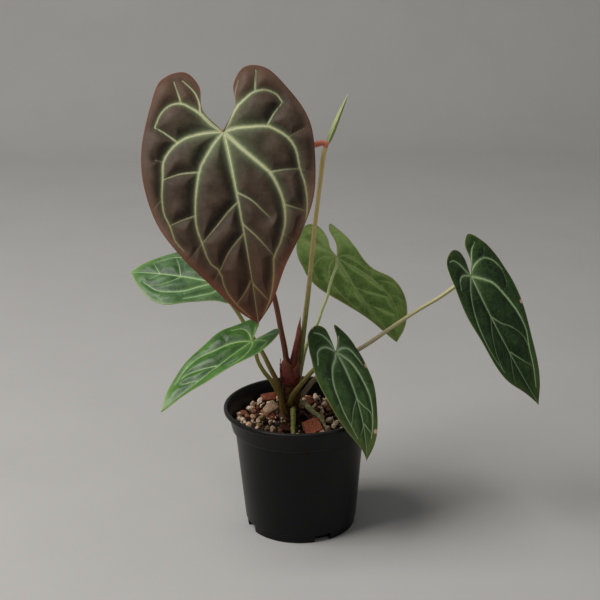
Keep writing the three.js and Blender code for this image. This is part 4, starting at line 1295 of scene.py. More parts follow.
def mix_core():
    """The rough core under the chunks, which fills the pot down to its floor."""
    columns, edge = MIX["core_columns"], MIX["wall_radius"] + 0.6
    radii = np.linspace(0, 1, MIX["core_rings"])[1:] * edge
    angle = np.linspace(0, FULL_TURN, columns, endpoint=False)
    flat = radii[:, None, None] * np.stack([np.cos(angle), np.sin(angle)], -1)
    z = mix_height(flat[..., 0], flat[..., 1]) - MIX["core_sunk"]
    z = z + 0.9 * ripple(flat, 7, 3) + 0.4 * ripple(flat, 3, 4)
    top = np.concatenate([flat, z[..., None]], -1)
    rim = top[-1] / edge * (1, 1, 0)
    floor = POT["floor_top"] + 0.4
    # Rings below the top: their height, and their gap to the outside of the pot's wall
    rings = ((POT["collar_z"] - 2, 2.1), (POT["floor_top"] + 3, 2.1), (floor, 3.6))
    points = np.vstack([
        top.reshape(-1, 3),
        *(rim * (body_radius(level) - gap) + (0, 0, level) for level, gap in rings),
        (0, 0, mix_height(0, 0) - MIX["core_sunk"]),
        (0, 0, floor),
    ])
    rows = len(radii) + len(rings)
    faces = [grid_quads(rows, columns, wrap=True)] + pole_fans(rows, columns)
    values = {"kind": np.full(len(points), float(CORE)), "tint": np.zeros(len(points))}
    return oriented(points, faces, values)


def placed_chips(random):
    """The chips of bark that stand out, leaning to the front."""
    placed = np.array(PLACED)
    turn, lean = np.radians(placed[:, 5:7]).T
    centres = on_the_mix(placed[:, :2], 0.6 + 0.3 * placed[:, 3] * np.sin(lean))
    chips = chunks_surface(
        random, centres, placed[:, 2:5] / 2, turns_about(0, lean) @ turns_about(2, turn),
        ball(4), 0.2, 0.10, BARK, facets=1)
    return tinted(chips, placed[:, 7])


def placed_grains(random):
    """The grains that stand out."""
    grains = np.array(GRAINS)
    sizes = grains[:, 2:3] / 2 * random.uniform(0.72, 1.08, (len(grains), 3))
    turns = random_turns(random, len(grains), ANY_WAY)
    stones = chunks_surface(
        random, on_the_mix(grains[:, :2], 0.3), sizes, turns, ball(4), 1.0, 0.2, STONE)
    return tinted(stones, grains[:, 3])


def scattered_chunks(random):
    """Grains and then chips, half sunk, where no root and no placed grain is in the way."""
    places = scattered(random, MIX["pumice"] + MIX["bark"], MIX["wall_radius"] - 3.6, 6)
    is_bark = random.random(len(places)) < MIX["bark"] / len(places)
    size = np.where(is_bark, random.uniform(6, 13, len(places)),
                    random.uniform(3.2, 6.4, len(places)))
    for x, y, length, width, *_ in PLACED:
        near = np.hypot(places[:, 0] - x, places[:, 1] - y) < (length + width) / 4 + 1.0
        size[near & is_bark] *= 0.5
    grains = np.array(GRAINS)
    gap = np.linalg.norm(places[:, None] - grains[None, :, :2], axis=-1) - grains[:, 2] / 2
    keep = clear_of_plant(places, size * 0.5) & (gap.min(1) > size * 0.32)
    keep &= is_bark | (pale_share(places) > random.random(len(places)))
    keep &= np.hypot(*places.T) + size * 0.42 < MIX["wall_radius"]
    # Kind, least and most width and thickness over the half length, tilt, boxiness, roughness
    kinds = (
        (STONE, 0.75, 1, 0.65, 0.95, ANY_WAY, 1.0, 0.16),
        (BARK, 0.6, 0.84, 0.24, 0.44, 0.7, 0.5, 0.14),
    )
    for kind, narrow, wide, thin, thick, tilt, boxiness, rough in kinds:
        chosen = keep & (is_bark == kind)
        half, count = size[chosen] / 2, int(chosen.sum())
        centres = on_the_mix(places[chosen], random.uniform(-2.8, 0.6, count))
        sizes = np.column_stack([
            half, half * random.uniform(narrow, wide, count),
            half * random.uniform(thin, thick, count)])
        turns = random_turns(random, count, tilt)
        yield chunks_surface(random, centres, sizes, turns, ball(3), boxiness, rough, kind)


def crumbs(random):
    """Small bits of both kinds that fill the gaps."""
    places = scattered(random, MIX["crumbs"], MIX["wall_radius"] - 1.6, 3)
    size = random.uniform(1.2, 3.0, len(places))
    clear = clear_of_plant(places, size)
    places, size = places[clear], size[clear]
    centres = on_the_mix(places, random.uniform(-2.4, -0.2, len(places)))
    sizes = size[:, None] / 2 * (1, 0.8, 0.6)
    for kind in (STONE, BARK):
        mine = slice(kind, None, 2)
        bits = chunks_surface(
            random, centres[mine], sizes[mine], random_turns(random, len(centres[mine]), 1.2),
            ball(2), 0.8, 0.24, kind)
        if kind == STONE:
            bits[2]["tint"] = 0.35 + 0.65 * bits[2]["tint"]
        yield bits


def mix_surface(seed):
    """The mix: a rough core, large and small chunks half sunk in it, and crumbs."""
    random = np.random.default_rng(seed)
    return joined([
        mix_core(), placed_chips(random), placed_grains(random),
        *scattered_chunks(random), *crumbs(random),
    ])


# Looks of the pieces

RING_PITCH = 5.2  # of the stem's leaf scars
EARTH = srgb(48, 34, 22)  # at the foot of a stalk


def plastic_finish(color):
    """Satin moulded plastic: a fine grain, faint scuffs, a little dust near the lip, and painted
    highlights along the lip and the collar's foot.
    """
    finish = Finish("black_plastic", IOR=1.48, Specular_IOR_Level=0.22)
    mm = finish.mm
    _, _, height = finish.parts(mm)
    cloud = finish.noise(mm, 26, detail=4)
    scuff = finish.noise(finish.stretched(mm, 1, 1, 0.16), 2.2, detail=3)
    dust = height.rise(70, 101) * cloud.rise(0.45, 0.75)
    marks = scuff.rise(0.62, 0.78)
    # painted highlight along the rounded lip
    lip = height.rise(99.7, 100.7) * 0.08
    # painted highlight along the collar's foot
    painted_collar_highlight = (height - 83.0).size().rise(0.9, 0.2) * 0.03
    finish.set("Base Color", finish.layered(
        scaled(color, 0.85),
        (cloud, scaled(color, 1.25)),
        # pale grey for dust and scuffs, and for the painted highlights on the lip and the
        # collar's foot
        (dust * 0.03 + marks * 0.02 + lip + painted_collar_highlight, srgb(118, 114, 108)),
    ))
    finish.set("Roughness", 0.33 + 0.08 * cloud + 0.12 * marks + 0.08 * dust)
    grain = finish.noise(mm, 0.5, detail=2)
    waviness = finish.noise(finish.stretched(mm, 1, 1, 0.4), 9, detail=2)
    finish.bump(grain * 0.02 + waviness * 0.05)
    return finish.material


def mix_finish(pumice, bark):
    """Pale porous pumice with painted shade in its pores, red-brown fibrous bark and dark humus,
    told apart by kind.
    """
    finish = Finish("bark_and_pumice", Specular_IOR_Level=0.3)
    mm = finish.mm
    kind, tint = finish.value("kind"), finish.value("tint")
    is_bark = kind.rise(0.4, 0.6)
    is_core = kind.rise(1.4, 1.6)
    fine = finish.noise(mm, 0.9, detail=4)
    broad = finish.noise(mm, 5, detail=3)
    pit = finish.cells(mm, 0.9, "F1").rise(0.42, 0.12)
    fibre = finish.noise(finish.stretched(mm, 1, 0.22, 0.5), 0.9, detail=4, distortion=0.4)
    stone = finish.layered(
        pumice,
        (tint, srgb(206, 158, 124)),
        (tint.rise(0.80, 0.84), srgb(128, 112, 78)),
        (tint.rise(0.90, 0.94), srgb(150, 98, 74)),
        (broad.rise(0.46, 0.66) * 0.75, srgb(150, 106, 80)),
        # painted shade in the pumice's pores
        (pit * 0.85, srgb(84, 60, 46)),
    )
    wood = finish.layered(
        bark,
        (tint.rise(0.1, 0.8), srgb(52, 32, 24)),
        (tint.rise(0.82, 0.84), srgb(146, 78, 54)),
        (tint.rise(0.96, 0.965), srgb(190, 158, 130)),
        (tint.rise(0.994, 0.997), srgb(196, 112, 84)),
    )
    wood = finish.mix(fibre.rise(0.42, 0.62), finish.shade(wood, 0.55), wood)
    wood = finish.mix(broad.rise(0.58, 0.7) * 0.35, wood, srgb(146, 112, 88))
    core = finish.mix(fine, srgb(22, 14, 10), srgb(58, 38, 28))
    finish.set("Base Color", finish.layered(stone, (is_bark, wood), (is_core, core)))
    finish.set("Roughness", 0.78 + 0.18 * fine)
    finish.bump((1 - is_bark) * pit * -0.18 + is_bark * fibre * 0.35 + fine * 0.18)
    return finish.material


def leaf_finish(name, look):
    """A leaf: a mottled field, painted shade and painted light on the quilting's slopes, pale
    veins with a soft halo, a net of fine veins, a rim of its own colour, and the underside."""
    finish = Finish(
        name, Sheen_Weight=look["velvet"] * 0.10, Sheen_Roughness=0.38,
        Specular_IOR_Level=look["gloss"], Sheen_Tint=(*look["sheen"], 1.0),
    )
    leaf = finish.value("leaf", "Vector")
    along, _, _ = finish.parts(leaf)
    main, side = finish.value("main"), finish.value("side")
    faint, edge = finish.value("faint"), finish.value("edge")
    lee, under = finish.value("lee"), finish.value("under").rise(0.3, 0.7)
    reach = finish.node("ShaderNodeVectorMath", {"operation": "LENGTH"}, {0: leaf}, "Value")
    blotch = finish.noise(leaf, 14, detail=4)
    cloud = finish.noise(leaf, 3.2, detail=4)
    grain = finish.noise(leaf, 0.5, detail=2)
    warped = finish.node("ShaderNodeTexNoise", {}, {"Vector": leaf, "Scale": 0.3}, "Color")
    net = finish.cells(finish.vector("MULTIPLY_ADD", warped, (4.0, 4.0, 0.0), leaf), look["net"])
    net_line = net.rise(0.10, 0.01)
    jitter = (cloud - 0.5) * look["ragged"]
    bright = reach.rise(look["reach"], look["reach"] * 0.12)
    glow = 0.3 + 0.7 * bright
    halo = (main + jitter * 2).rise(look["halo"], 0.6) * glow
    inner = (main + jitter).rise(2.6, 0.4) * glow
    core = (main + jitter * 0.4).rise(1.25, 0.2)
    crease = main.rise(0.42, 0.1) * bright * look["vein_share"]
    side_core = (side + jitter * 0.5).rise(1.9, 0.4)
    side_halo = (side + jitter * 2).rise(7.0, 0.8) * glow
    faint_core = (faint + jitter * 0.4).rise(2.6, 0.5) * 0.3
    wash = (main + jitter * 1.5).rise(6.5, 0.8) * reach.rise(look["heart"] * 1.2, 4)
    near = reach.rise(look["heart"], 4) * (0.55 + 0.45 * blotch)
    end = (along + jitter * 20).rise(look["reach"] * 0.5, look["reach"] * 1.1)
    zone = (edge + jitter * 3).rise(look["rim"] * 9, 0.5) * (0.35 + 0.65 * along.rise(-10, 90))
    lobe = along.rise(-12, -38) * 0.45
    rim = (edge + jitter * 0.3).rise(look["rim"], look["rim"] * 0.25)
    scar = (finish.value("scar") + jitter).rise(2.2, 1.2)
    vein = finish.mix(bright, look["vein_low"], look["vein"])
    margin = finish.mix(end, look["zone"], look["rim_color"])

    top = finish.layered(
        look["dark"],
        (blotch.rise(0.36, 0.66), look["light"]),
        (cloud.rise(0.35, 0.75) * 0.15, look["light"]),
        (near * look["heart_share"], look["heart_color"]),
        # painted shade where the quilting falls away from the light, painted light where it rises
        # to it
        (lee.rise(0.05, 0.7) * look["lee"], scaled(look["dark"], 0.38)),
        (lee.rise(-0.1, -0.7) * look["lee"] * 0.25, look["light"]),
        (zone * look["zone_share"], margin),
        (lobe * look["zone_share"], look["zone"]),
        (end * look["end_share"], look["end"]),
        (net_line * look["net_share"], vein),
        (halo * look["halo_share"], look["halo_color"]),
        (side_halo * look["halo_share"] * 0.5, look["halo_color"]),
        (wash * look["wash"], vein),
        (inner * 0.32, vein),
        (faint_core * look["vein_share"], vein),
        (side_core * look["vein_share"] * 0.75, vein),
        (core * look["vein_share"], vein),
        (crease * 0.4, look["halo_color"]),
        (rim * look["rim_share"], look["rim_color"]),
        (scar * 0.85, srgb(208, 170, 136)),
    )
    back = finish.layered(
        look["back"],
        (blotch.rise(0.3, 0.7), look["back_light"]),
        # painted light: the underside's lobes lit as if light shone through them
        (along.rise(4, -24) * 0.7, look["back_lobe"]),
        # painted shade and painted light on the underside's quilting
        (lee.rise(0.0, 0.55) * 0.6, scaled(look["back"], 0.66)),
        (lee.rise(-0.05, -0.5) * 0.6, look["back_lobe"]),
        (net_line * 0.18, look["back_vein"]),
        (cloud.rise(0.4, 0.7) * 0.3, look["back"]),
        (side_core * 0.6, look["back_vein"]),
        (inner * 0.5, look["back_vein"]),
        (core * 0.85, look["back_vein"]),
        (zone * 0.4, look["rim_color"]),
        (rim * 0.5, look["back_vein"]),
    )
    finish.set("Base Color", finish.mix(under, top, back))
    rough = look["roughness"] + 0.10 * cloud + 0.08 * core - 0.05 * blotch
    finish.set("Roughness", rough + under * 0.12)
    relief = grain * 0.03 + net.rise(0.0, 0.3) * look["net_share"] + cloud * 0.06
    relief = relief - main.rise(1.0, 0.0) * 0.10 - main.rise(0.3, 0.0) * 0.08
    finish.bump(relief + side.rise(1.2, 0.2) * -0.05, 0.8)
    return finish.material


def stalk_finish(name, stalk, length):
    """A stalk: colour changing from foot to top, long pale streaks and small specks."""
    finish = Finish(name, Specular_IOR_Level=0.4)
    low, high, streak = (srgb(*stalk[key]) for key in ("low", "high", "streak"))
    mm = finish.mm
    share = finish.value("along") / length
    streaks = finish.noise(finish.stretched(mm, 1, 1, 0.06), 0.55, detail=3)
    cloud = finish.noise(mm, 3, detail=3)
    speck = finish.cells(finish.stretched(mm, 1, 1, 0.5), 0.9, "F1").rise(0.26, 0.12)
    finish.set("Base Color", finish.layered(
        low,
        ((share + (cloud - 0.5) * 0.3).rise(0.1, 0.8), high),
        (streaks.rise(0.5, 0.72) * 0.4, streak),
        (speck * 0.25, streak),
        (share.rise(0.95, 1.0) * 0.25, streak),
        (share.rise(0.06, 0.0) * 0.6, EARTH),
    ))
    finish.set("Roughness", 0.42 + 0.14 * cloud)
    finish.bump(streaks * 0.10 + cloud * 0.08)
    return finish.material


def bark_stem_finish():
    """The old stem: dark brown, with pale ring scars, cork flecks and stuck fibres."""
    finish = Finish("brown_stem", Specular_IOR_Level=0.25)
    mm = finish.mm
    along = finish.value("along")
    cloud = finish.noise(mm, 2.4, detail=5)
    fibre = finish.noise(finish.stretched(mm, 1, 1, 0.16), 0.5, detail=4)
    rings = (along * (FULL_TURN / RING_PITCH) + cloud * 3).sine().rise(0.55, 1.0)
    finish.set("Base Color", finish.layered(
        srgb(58, 38, 26),
        (cloud, srgb(112, 76, 52)),
        (rings * 0.5, srgb(112, 86, 60)),
        (fibre.rise(0.55, 0.72) * 0.5, srgb(104, 78, 54)),
    ))
    finish.set("Roughness", 0.72 + 0.2 * fibre)
    finish.bump(cloud * 0.5 + rings * 0.25 + fibre * 0.35)
    return finish.material


def scale_finish():
    """Burgundy scales: dark red, browner and paler to the tips, with fine long ribs."""
    finish = Finish("burgundy_scales", Specular_IOR_Level=0.4)
    mm = finish.mm
    along, around = finish.value("along"), finish.value("around")
    ribs = finish.noise(finish.stretched(mm, 1, 1, 0.07), 0.5, detail=3)
    cloud = finish.noise(mm, 4, detail=4)
    finish.set("Base Color", finish.layered(
        srgb(86, 30, 27),
        (cloud.rise(0.3, 0.7), srgb(136, 56, 48)),
        (ribs.rise(0.5, 0.7) * 0.4, srgb(134, 78, 60)),
        (along.rise(0.42, 0.95) * 0.7, srgb(146, 92, 60)),
        (around.size().rise(0.86, 1.0) * 0.6, srgb(150, 110, 80)),
        (along.rise(0.14, 0.0) * 0.75, srgb(44, 26, 18)),
    ))
    finish.set("Roughness", 0.34 + 0.2 * cloud)
    finish.bump(ribs * 0.22 + cloud * 0.15)
    return finish.material


def root_finish(name, color, dark):
    """A root: matt, with darker collars, grit stuck to it and a fine velvet grain."""
    finish = Finish(name, Specular_IOR_Level=0.2)
    mm = finish.mm
    along = finish.value("along")
    cloud = finish.noise(mm, 2.2, detail=5)
    grain = finish.noise(mm, 0.35, detail=3)
    finish.set("Base Color", finish.layered(
        color,
        (cloud.rise(0.35, 0.72), dark),
        (along.rise(7, 0) * 0.7, srgb(60, 44, 26)),
        (grain.rise(0.62, 0.75) * 0.4, srgb(176, 168, 138)),
    ))
    finish.set("Roughness", 0.7 + 0.2 * cloud)
    finish.bump(grain * 0.10 + cloud * 0.30)
    return finish.material


def spadix_finish():
    """The spadix: coral red knobs, each paler on top, with painted shade between them."""
    finish = Finish("coral_spadix", Specular_IOR_Level=0.35)
    cloud = finish.noise(finish.mm, 4, detail=3)
    knob = finish.mix(cloud, srgb(226, 140, 110), srgb(238, 166, 136))
    # painted shade between the knobs, where the knob field is low
    share = finish.value("knob").rise(0.2, 0.9)
    finish.set("Base Color", finish.mix(share, srgb(186, 90, 66), knob))
    finish.set("Roughness", 0.55 + 0.15 * cloud)
    finish.bump(finish.noise(finish.mm, 0.3, detail=2) * 0.06)
    return finish.material


def floor_finish(color):
    """Plain pale floor and backdrop with a barely visible mottle."""
    finish = Finish("studio_floor", Specular_IOR_Level=0.2)
    cloud = finish.noise(finish.space, 0.12, detail=5)
    fine = finish.noise(finish.space, 0.006, detail=3)
    finish.set("Base Color", finish.layered(
        scaled(color, 0.94),
        (cloud, scaled(color, 1.05)),
        (fine.rise(0.62, 0.8) * 0.12, scaled(color, 0.6)),
    ))
    finish.set("Roughness", 0.75 + 0.1 * cloud)
    return finish.material


def leaf_look(base, **values):
    """What leaf_finish needs: the base's values with others in their place, where a triple
    of display values stands for a colour."""
    own = {
        key: srgb(*value) if isinstance(value, tuple) else value
        for key, value in values.items()
    }
    return {**base, **own}


# Each share tells how strongly its colour shows, also the painted shade and painted light on
# the quilting; the underside's lobe colour is painted light. heart, rim, reach and net are
# millimetres, halo is a number of half widths of the vein.
GREEN = leaf_look(
    {}, heart=24, heart_share=0.4, zone_share=0.5, rim=1.1, rim_share=0.6, halo=4.5,
    halo_share=0.35, reach=90, vein_share=0.85, end_share=0.3, wash=0.05, lee=0.55,
    net=3.6, net_share=0.04, ragged=1.2, gloss=0.3, sheen=[0.8, 0.9, 0.8], roughness=0.46,
    velvet=0.1, back=(98, 136, 60), back_light=(152, 190, 98), back_lobe=(200, 234, 144),
    back_vein=(190, 206, 138),
)
DARK_GREEN = leaf_look(
    GREEN, slot="dark_green_leaf", wash=0.12, gloss=0.18, sheen=[0.8, 0.9, 0.85],
    velvet=0.15,
)
LOOKS = {
    "a": leaf_look(
        GREEN, slot="maroon_leaf", dark=(53, 42, 33), light=(70, 57, 47), heart=46,
        heart_share=0.6, heart_color=(66, 80, 54), zone=(112, 84, 68), zone_share=0.7,
        rim=0.9, rim_color=(108, 54, 42), halo=5.6, halo_share=0.5,
        halo_color=(70, 94, 62), reach=120, vein=(190, 194, 152),
        vein_low=(124, 102, 70), vein_share=0.95, end=(76, 42, 26), end_share=0.4,
        wash=0.1, lee=0.95, net=4.5, net_share=0.015, gloss=0.14,
        sheen=[0.8, 0.78, 0.85], roughness=0.56, velvet=0.6, back=(110, 60, 52),
        back_light=(124, 76, 60), back_lobe=(124, 76, 60), back_vein=(150, 118, 86),
    ),
    "b": leaf_look(
        GREEN, slot="light_green_leaf", dark=(38, 68, 37), light=(74, 104, 63), heart=30,
        heart_color=(106, 138, 84), zone=(90, 130, 66), zone_share=0.4, rim=1.0,
        rim_color=(132, 150, 84), halo_color=(106, 140, 88), vein=(158, 184, 130),
        vein_low=(154, 178, 128), end=(84, 140, 62), end_share=0.4, lee=0.7,
        net_share=0.05, gloss=0.28, roughness=0.42,
    ),
    "c": leaf_look(
        GREEN, slot="mid_green_leaf", dark=(34, 68, 26), light=(59, 98, 39),
        heart_color=(92, 132, 66), zone=(84, 122, 52), zone_share=0.4, rim=1.0,
        rim_color=(116, 140, 70), halo_color=(98, 138, 76), vein=(150, 178, 106),
        vein_low=(132, 162, 92), end=(78, 120, 56), lee=0.6, net_share=0.05,
        sheen=[0.8, 0.9, 0.75], roughness=0.36, velvet=0.0,
    ),
    "d": leaf_look(
        GREEN, slot="mid_green_leaf", dark=(50, 78, 40), light=(70, 96, 52),
        heart_share=0.3, heart_color=(84, 112, 62), zone=(96, 108, 50),
        rim_color=(138, 134, 72), halo_color=(92, 116, 64), vein=(136, 152, 96),
        vein_low=(120, 136, 84), vein_share=0.7, end=(96, 108, 50), wash=0.1, lee=0.4,
        net_share=0.08, roughness=0.48,
    ),
    "e": leaf_look(
        DARK_GREEN, dark=(18, 37, 14), light=(36, 58, 25), heart=20, heart_share=0.35,
        heart_color=(60, 88, 48), zone=(60, 88, 34), rim_color=(92, 96, 52), halo=4.0,
        halo_share=0.4, halo_color=(60, 90, 48), reach=110, vein=(168, 192, 142),
        vein_low=(150, 176, 118), vein_share=0.95, end=(46, 74, 28), end_share=0.5,
    ),
    "f": leaf_look(
        DARK_GREEN, dark=(33, 54, 25), light=(59, 84, 43), heart=22,
        heart_color=(64, 90, 54), zone=(72, 96, 40), zone_share=0.6,
        rim_color=(120, 118, 74), halo=4.2, halo_share=0.45, halo_color=(80, 112, 68),
        vein=(184, 208, 162), vein_low=(156, 180, 126), vein_share=0.9,
        end=(84, 106, 42), end_share=0.65,
    ),
    "spathe": leaf_look(
        GREEN, slot="green_spathe", dark=(114, 132, 78), light=(144, 158, 98), heart=10,
        heart_share=0.3, heart_color=(146, 146, 96), zone=(150, 156, 108), zone_share=0.3,
        rim=0.6, rim_color=(176, 176, 132), halo=3, halo_share=0.3,
        halo_color=(146, 158, 104), reach=60, vein=(160, 170, 118),
        vein_low=(160, 170, 118), vein_share=0.4, end=(150, 154, 104), wash=0, lee=0,
        net=3, net_share=0.05, ragged=0.6, gloss=0.35, sheen=[0.9, 0.9, 0.8],
        roughness=0.45, velvet=0.0, back=(118, 136, 80), back_light=(144, 158, 98),
        back_lobe=(144, 158, 98), back_vein=(160, 170, 118),
    ),
}


# Floor, lights and camera, in metres apart from the camera's place

BACKDROP = dict(half_width=3.0, front=-2.2, bend=1.25, curve=0.5, wall=(0.8, 2.6))
CAMERA = dict(lens=90.0, sensor=36.0, down=19.0, roll=-0.95, place=(2, -1100, 567))
KEY = dict(place=(-1.1, -0.34, 1.68), target=(0, 0, 0.12), size=1.2, color=(1.0, 0.975, 0.94))
FILL = dict(place=(1.5, -1.1, 0.9), target=(0, 0, 0.15), size=1.4, color=(0.93, 0.97, 1.0))
WORLD_GREY = 0.94
WORLD_STRENGTH = 0.22


def build_floor(scene, color):
    """A floor that curves up into a wall behind the plant."""
    stage = BACKDROP
    turn = np.linspace(0, math.pi / 2, 17)[1:]
    depth = np.r_[
        np.linspace(stage["front"], stage["bend"], 12),
        stage["bend"] + stage["curve"] * np.sin(turn),
        np.full(4, stage["bend"] + stage["curve"]),
    ]
    rise = np.r_[
        np.zeros(12),
        stage["curve"] - stage["curve"] * np.cos(turn),
        np.linspace(*stage["wall"], 4),
    ]
    across = np.linspace(-stage["half_width"], stage["half_width"], 9)
    grid = np.broadcast_arrays(across, depth[:, None], rise[:, None])
    points = np.stack(grid, -1).reshape(-1, 3)
    quads = grid_quads(len(depth), len(across))[:, ::-1]
    mesh = bpy.data.meshes.new("studio_floor")
    mesh.from_pydata(points.tolist(), [], quads.tolist())
    mesh.polygons.foreach_set("use_smooth", np.ones(len(quads), bool))
    mesh.materials.append(floor_finish(color))
    floor = bpy.data.objects.new("studio_floor", mesh)
    scene.collection.objects.link(floor)


def place_object(scene, name, data, right, above, back, place):
    """Links an object that looks away from back, with the given sides, at a place."""
    item = bpy.data.objects.new(name, data)
    placement = np.eye(4)
    placement[:3] = np.stack([right, above, back, place], -1)
    item.matrix_world = Matrix(placement.tolist())
    scene.collection.objects.link(item)
    return item


def build_light(scene, name, light, power):
    """A square light that faces its target."""
    data = bpy.data.lights.new(name, "AREA")
    data.energy, data.size, data.color = power, light["size"], light["color"]
    back = np.array(light["place"], float) - light["target"]
    back /= np.linalg.norm(back)
    across = np.cross(UP, back)
    across /= np.linalg.norm(across)
    place_object(scene, name, data, across, np.cross(back, across), back, light["place"])


def build_world(scene):
    """Even grey light from all round."""
    world = bpy.data.worlds.new("studio")
    world.use_nodes = True
    background = world.node_tree.nodes["Background"]
    background.inputs["Color"].default_value = (WORLD_GREY, WORLD_GREY, WORLD_GREY, 1)
    background.inputs["Strength"].default_value = WORLD_STRENGTH
    scene.world = world
    scene.view_settings.view_transform = "Standard"


def build_camera(scene):
    """The camera, fitted to the pot's ellipses and edges in the photo."""
    data = bpy.data.cameras.new("photo_camera")
    data.lens, data.sensor_width = CAMERA["lens"], CAMERA["sensor"]
    pitch, roll = math.radians(CAMERA["down"]), math.radians(CAMERA["roll"])
    away = np.array([0, math.cos(pitch), -math.sin(pitch)])
    level = np.array([1.0, 0, 0])
    above = np.cross(level, away)
    right = math.cos(roll) * level + math.sin(roll) * above
    upright = -math.sin(roll) * level + math.cos(roll) * above
    place = (np.array(CAMERA["place"]) - MIDDLE) * MM
    scene.camera = place_object(scene, "photo_camera", data, right, upright, -away, place)


# Settings


class PotSettings(bpy.types.PropertyGroup):
    """Finish of the pot."""

    color: FloatVectorProperty(
        name="Plastic", description="Colour of the pot's plastic", subtype="COLOR",
        default=(0.0015, 0.0015, 0.0020), min=0, max=1)


class MixSettings(bpy.types.PropertyGroup):
    """Make-up of the potting mix."""

    pumice: FloatVectorProperty(
        name="Pumice", description="Colour of the palest grains", subtype="COLOR",
        default=srgb(242, 222, 200), min=0, max=1)
    bark: FloatVectorProperty(
        name="Bark", description="Colour of the reddest chips", subtype="COLOR",
        default=srgb(124, 66, 46), min=0, max=1)
    seed: IntProperty(
        name="Seed", description="Another number scatters the chunks another way",
        default=MIX["seed"], min=0)


class PlantSettings(bpy.types.PropertyGroup):
    """Fineness and relief of the plant."""

    stalk_step: FloatProperty(
        name="Stalk step", description="Distance between the rings of a stalk",
        default=1.2 * MM, min=0.3 * MM, max=5 * MM, unit="LENGTH", precision=5)
    stalk_sides: IntProperty(
        name="Stalk sides", description="Sides of a stalk", default=20, min=6, max=48)
    knob_height: FloatProperty(
        name="Knob height", description="How far the spadix's knobs stand out",
        default=0.22 * MM, min=0, max=1 * MM, unit="LENGTH", precision=5)


class StageSettings(bpy.types.PropertyGroup):
    """Floor and light."""

    floor_color: FloatVectorProperty(
        name="Floor", description="Colour of the floor and backdrop", subtype="COLOR",
        default=(0.365, 0.36, 0.352), min=0, max=1)
    key_power: FloatProperty(
        name="Main light", description="Power of the large light from the left",
        default=49.0, min=0, unit="POWER")
    fill_power: FloatProperty(
        name="Fill light", description="Power of the light from the right",
        default=2.5, min=0, unit="POWER")


# Operators

UNDER_BLADE = (9, 1.6)  # depths below the joint through which a stalk reaches its blade


def make_stalk(name, stalk, path, relief, settings, finish_name, replaced):
    """A round stalk along a path, with a finish of its own."""
    surface = tube_surface(
        path, stalk["radii"], settings.stalk_sides, settings.stalk_step / MM, relief)
    finish = stalk_finish(finish_name, stalk, curve_length(path))
    make_piece(name, surface, finish, stalk["slot"], replaced)


class ANTHURIUM_OT_pot(bpy.types.Operator):
    """Build the nursery pot"""

    bl_idname = "anthurium.pot"
    bl_label = "Pot"

    def execute(self, context):
        finish = plastic_finish(tuple(context.scene.anthurium_pot.color))
        make_piece("nursery_pot", pot_surface(), finish, "black_plastic", ["pot"])
        return {"FINISHED"}


class ANTHURIUM_OT_mix(bpy.types.Operator):
    """Build the potting mix"""

    bl_idname = "anthurium.mix"
    bl_label = "Potting mix"

    def execute(self, context):
        settings = context.scene.anthurium_mix
        finish = mix_finish(tuple(settings.pumice), tuple(settings.bark))
        make_piece(
            "bark_and_pumice_mix", mix_surface(settings.seed), finish, "bark_and_pumice",
            ["potting_mix"])
        return {"FINISHED"}


class ANTHURIUM_OT_stem(bpy.types.Operator):
    """Build the old stem, its roots and the scales at its top"""

    bl_idname = "anthurium.stem"
    bl_label = "Stem, roots and scales"

    def execute(self, context):
        def stem_relief(run, angle):
            rings = 0.35 * np.maximum(np.sin(run * (FULL_TURN / RING_PITCH)), 0) ** 3
            coarse = 0.45 * round_ripple(run, angle, 6, 5, 2)
            return rings + coarse + 0.2 * round_ripple(run, angle, 6, 1.9, 6)

        surface = tube_surface(
            STEM["path"], STEM["radii"], sides=72, step=0.45, relief=stem_relief)
        make_piece("ringed_stem", surface, bark_stem_finish(), "brown_stem", ["stem"])
        for name, root in ROOTS.items():
            def root_relief(run, angle, width=root["radii"][0]):
                coarse = 0.09 * width * round_ripple(run, angle, 2, 4, 9)
                return coarse + 0.03 * width * round_ripple(run, angle, 2, 1.1, 4)

            surface = tube_surface(
                root["path"], root["radii"], sides=22, step=0.5, relief=root_relief)
            finish = root_finish(root["slot"], srgb(*root["color"]), srgb(*root["dark"]))
            make_piece(f"aerial_{name}", surface, finish, root["slot"], [name])
        surface = joined([scale_surface(scale) for scale in SCALES])
        make_piece(
            "burgundy_cataphylls", surface, scale_finish(), "burgundy_scales",
            ["cataphylls"])
        return {"FINISHED"}


class ANTHURIUM_OT_stalks(bpy.types.Operator):
    """Build the leaf stalks, each up to just under its blade"""

    bl_idname = "anthurium.stalks"
    bl_label = "Leaf stalks"

    def execute(self, context):
        settings = context.scene.anthurium_plant
        for key, stalk in STALKS.items():
            blade = Blade(LEAVES[key])
            ends = [tuple(blade.over_midrib(0, -depth)) for depth in UNDER_BLADE]
            path = stalk["path"] + ends
            length = curve_length(path)

            def relief(run, angle, length=length, width=stalk["radii"][2]):
                swell = 0.10 * width * np.exp(-(((run - length + 5) / 4.5) ** 2))
                crease = 0.03 * width * np.sin(5 * angle + 0.05 * run)
                return swell + crease

            make_stalk(
                f"stalk_of_leaf_{key}", stalk, path, relief, settings,
                f"{stalk['slot']}_{key}", [f"leaf_stalk_{key}"])
        return {"FINISHED"}


class ANTHURIUM_OT_leaves(bpy.types.Operator):
    """Build the leaf blades"""

    bl_idname = "anthurium.leaves"
    bl_label = "Leaf blades"

    def execute(self, context):
        for key, spec in LEAVES.items():
            look = LOOKS[key]
            finish = leaf_finish(f"{look['slot']}_{key}", look)
            make_piece(
                f"blade_of_leaf_{key}", Blade(spec).surface(), finish, look["slot"],
                [f"leaf_blade_{key}"])
        return {"FINISHED"}


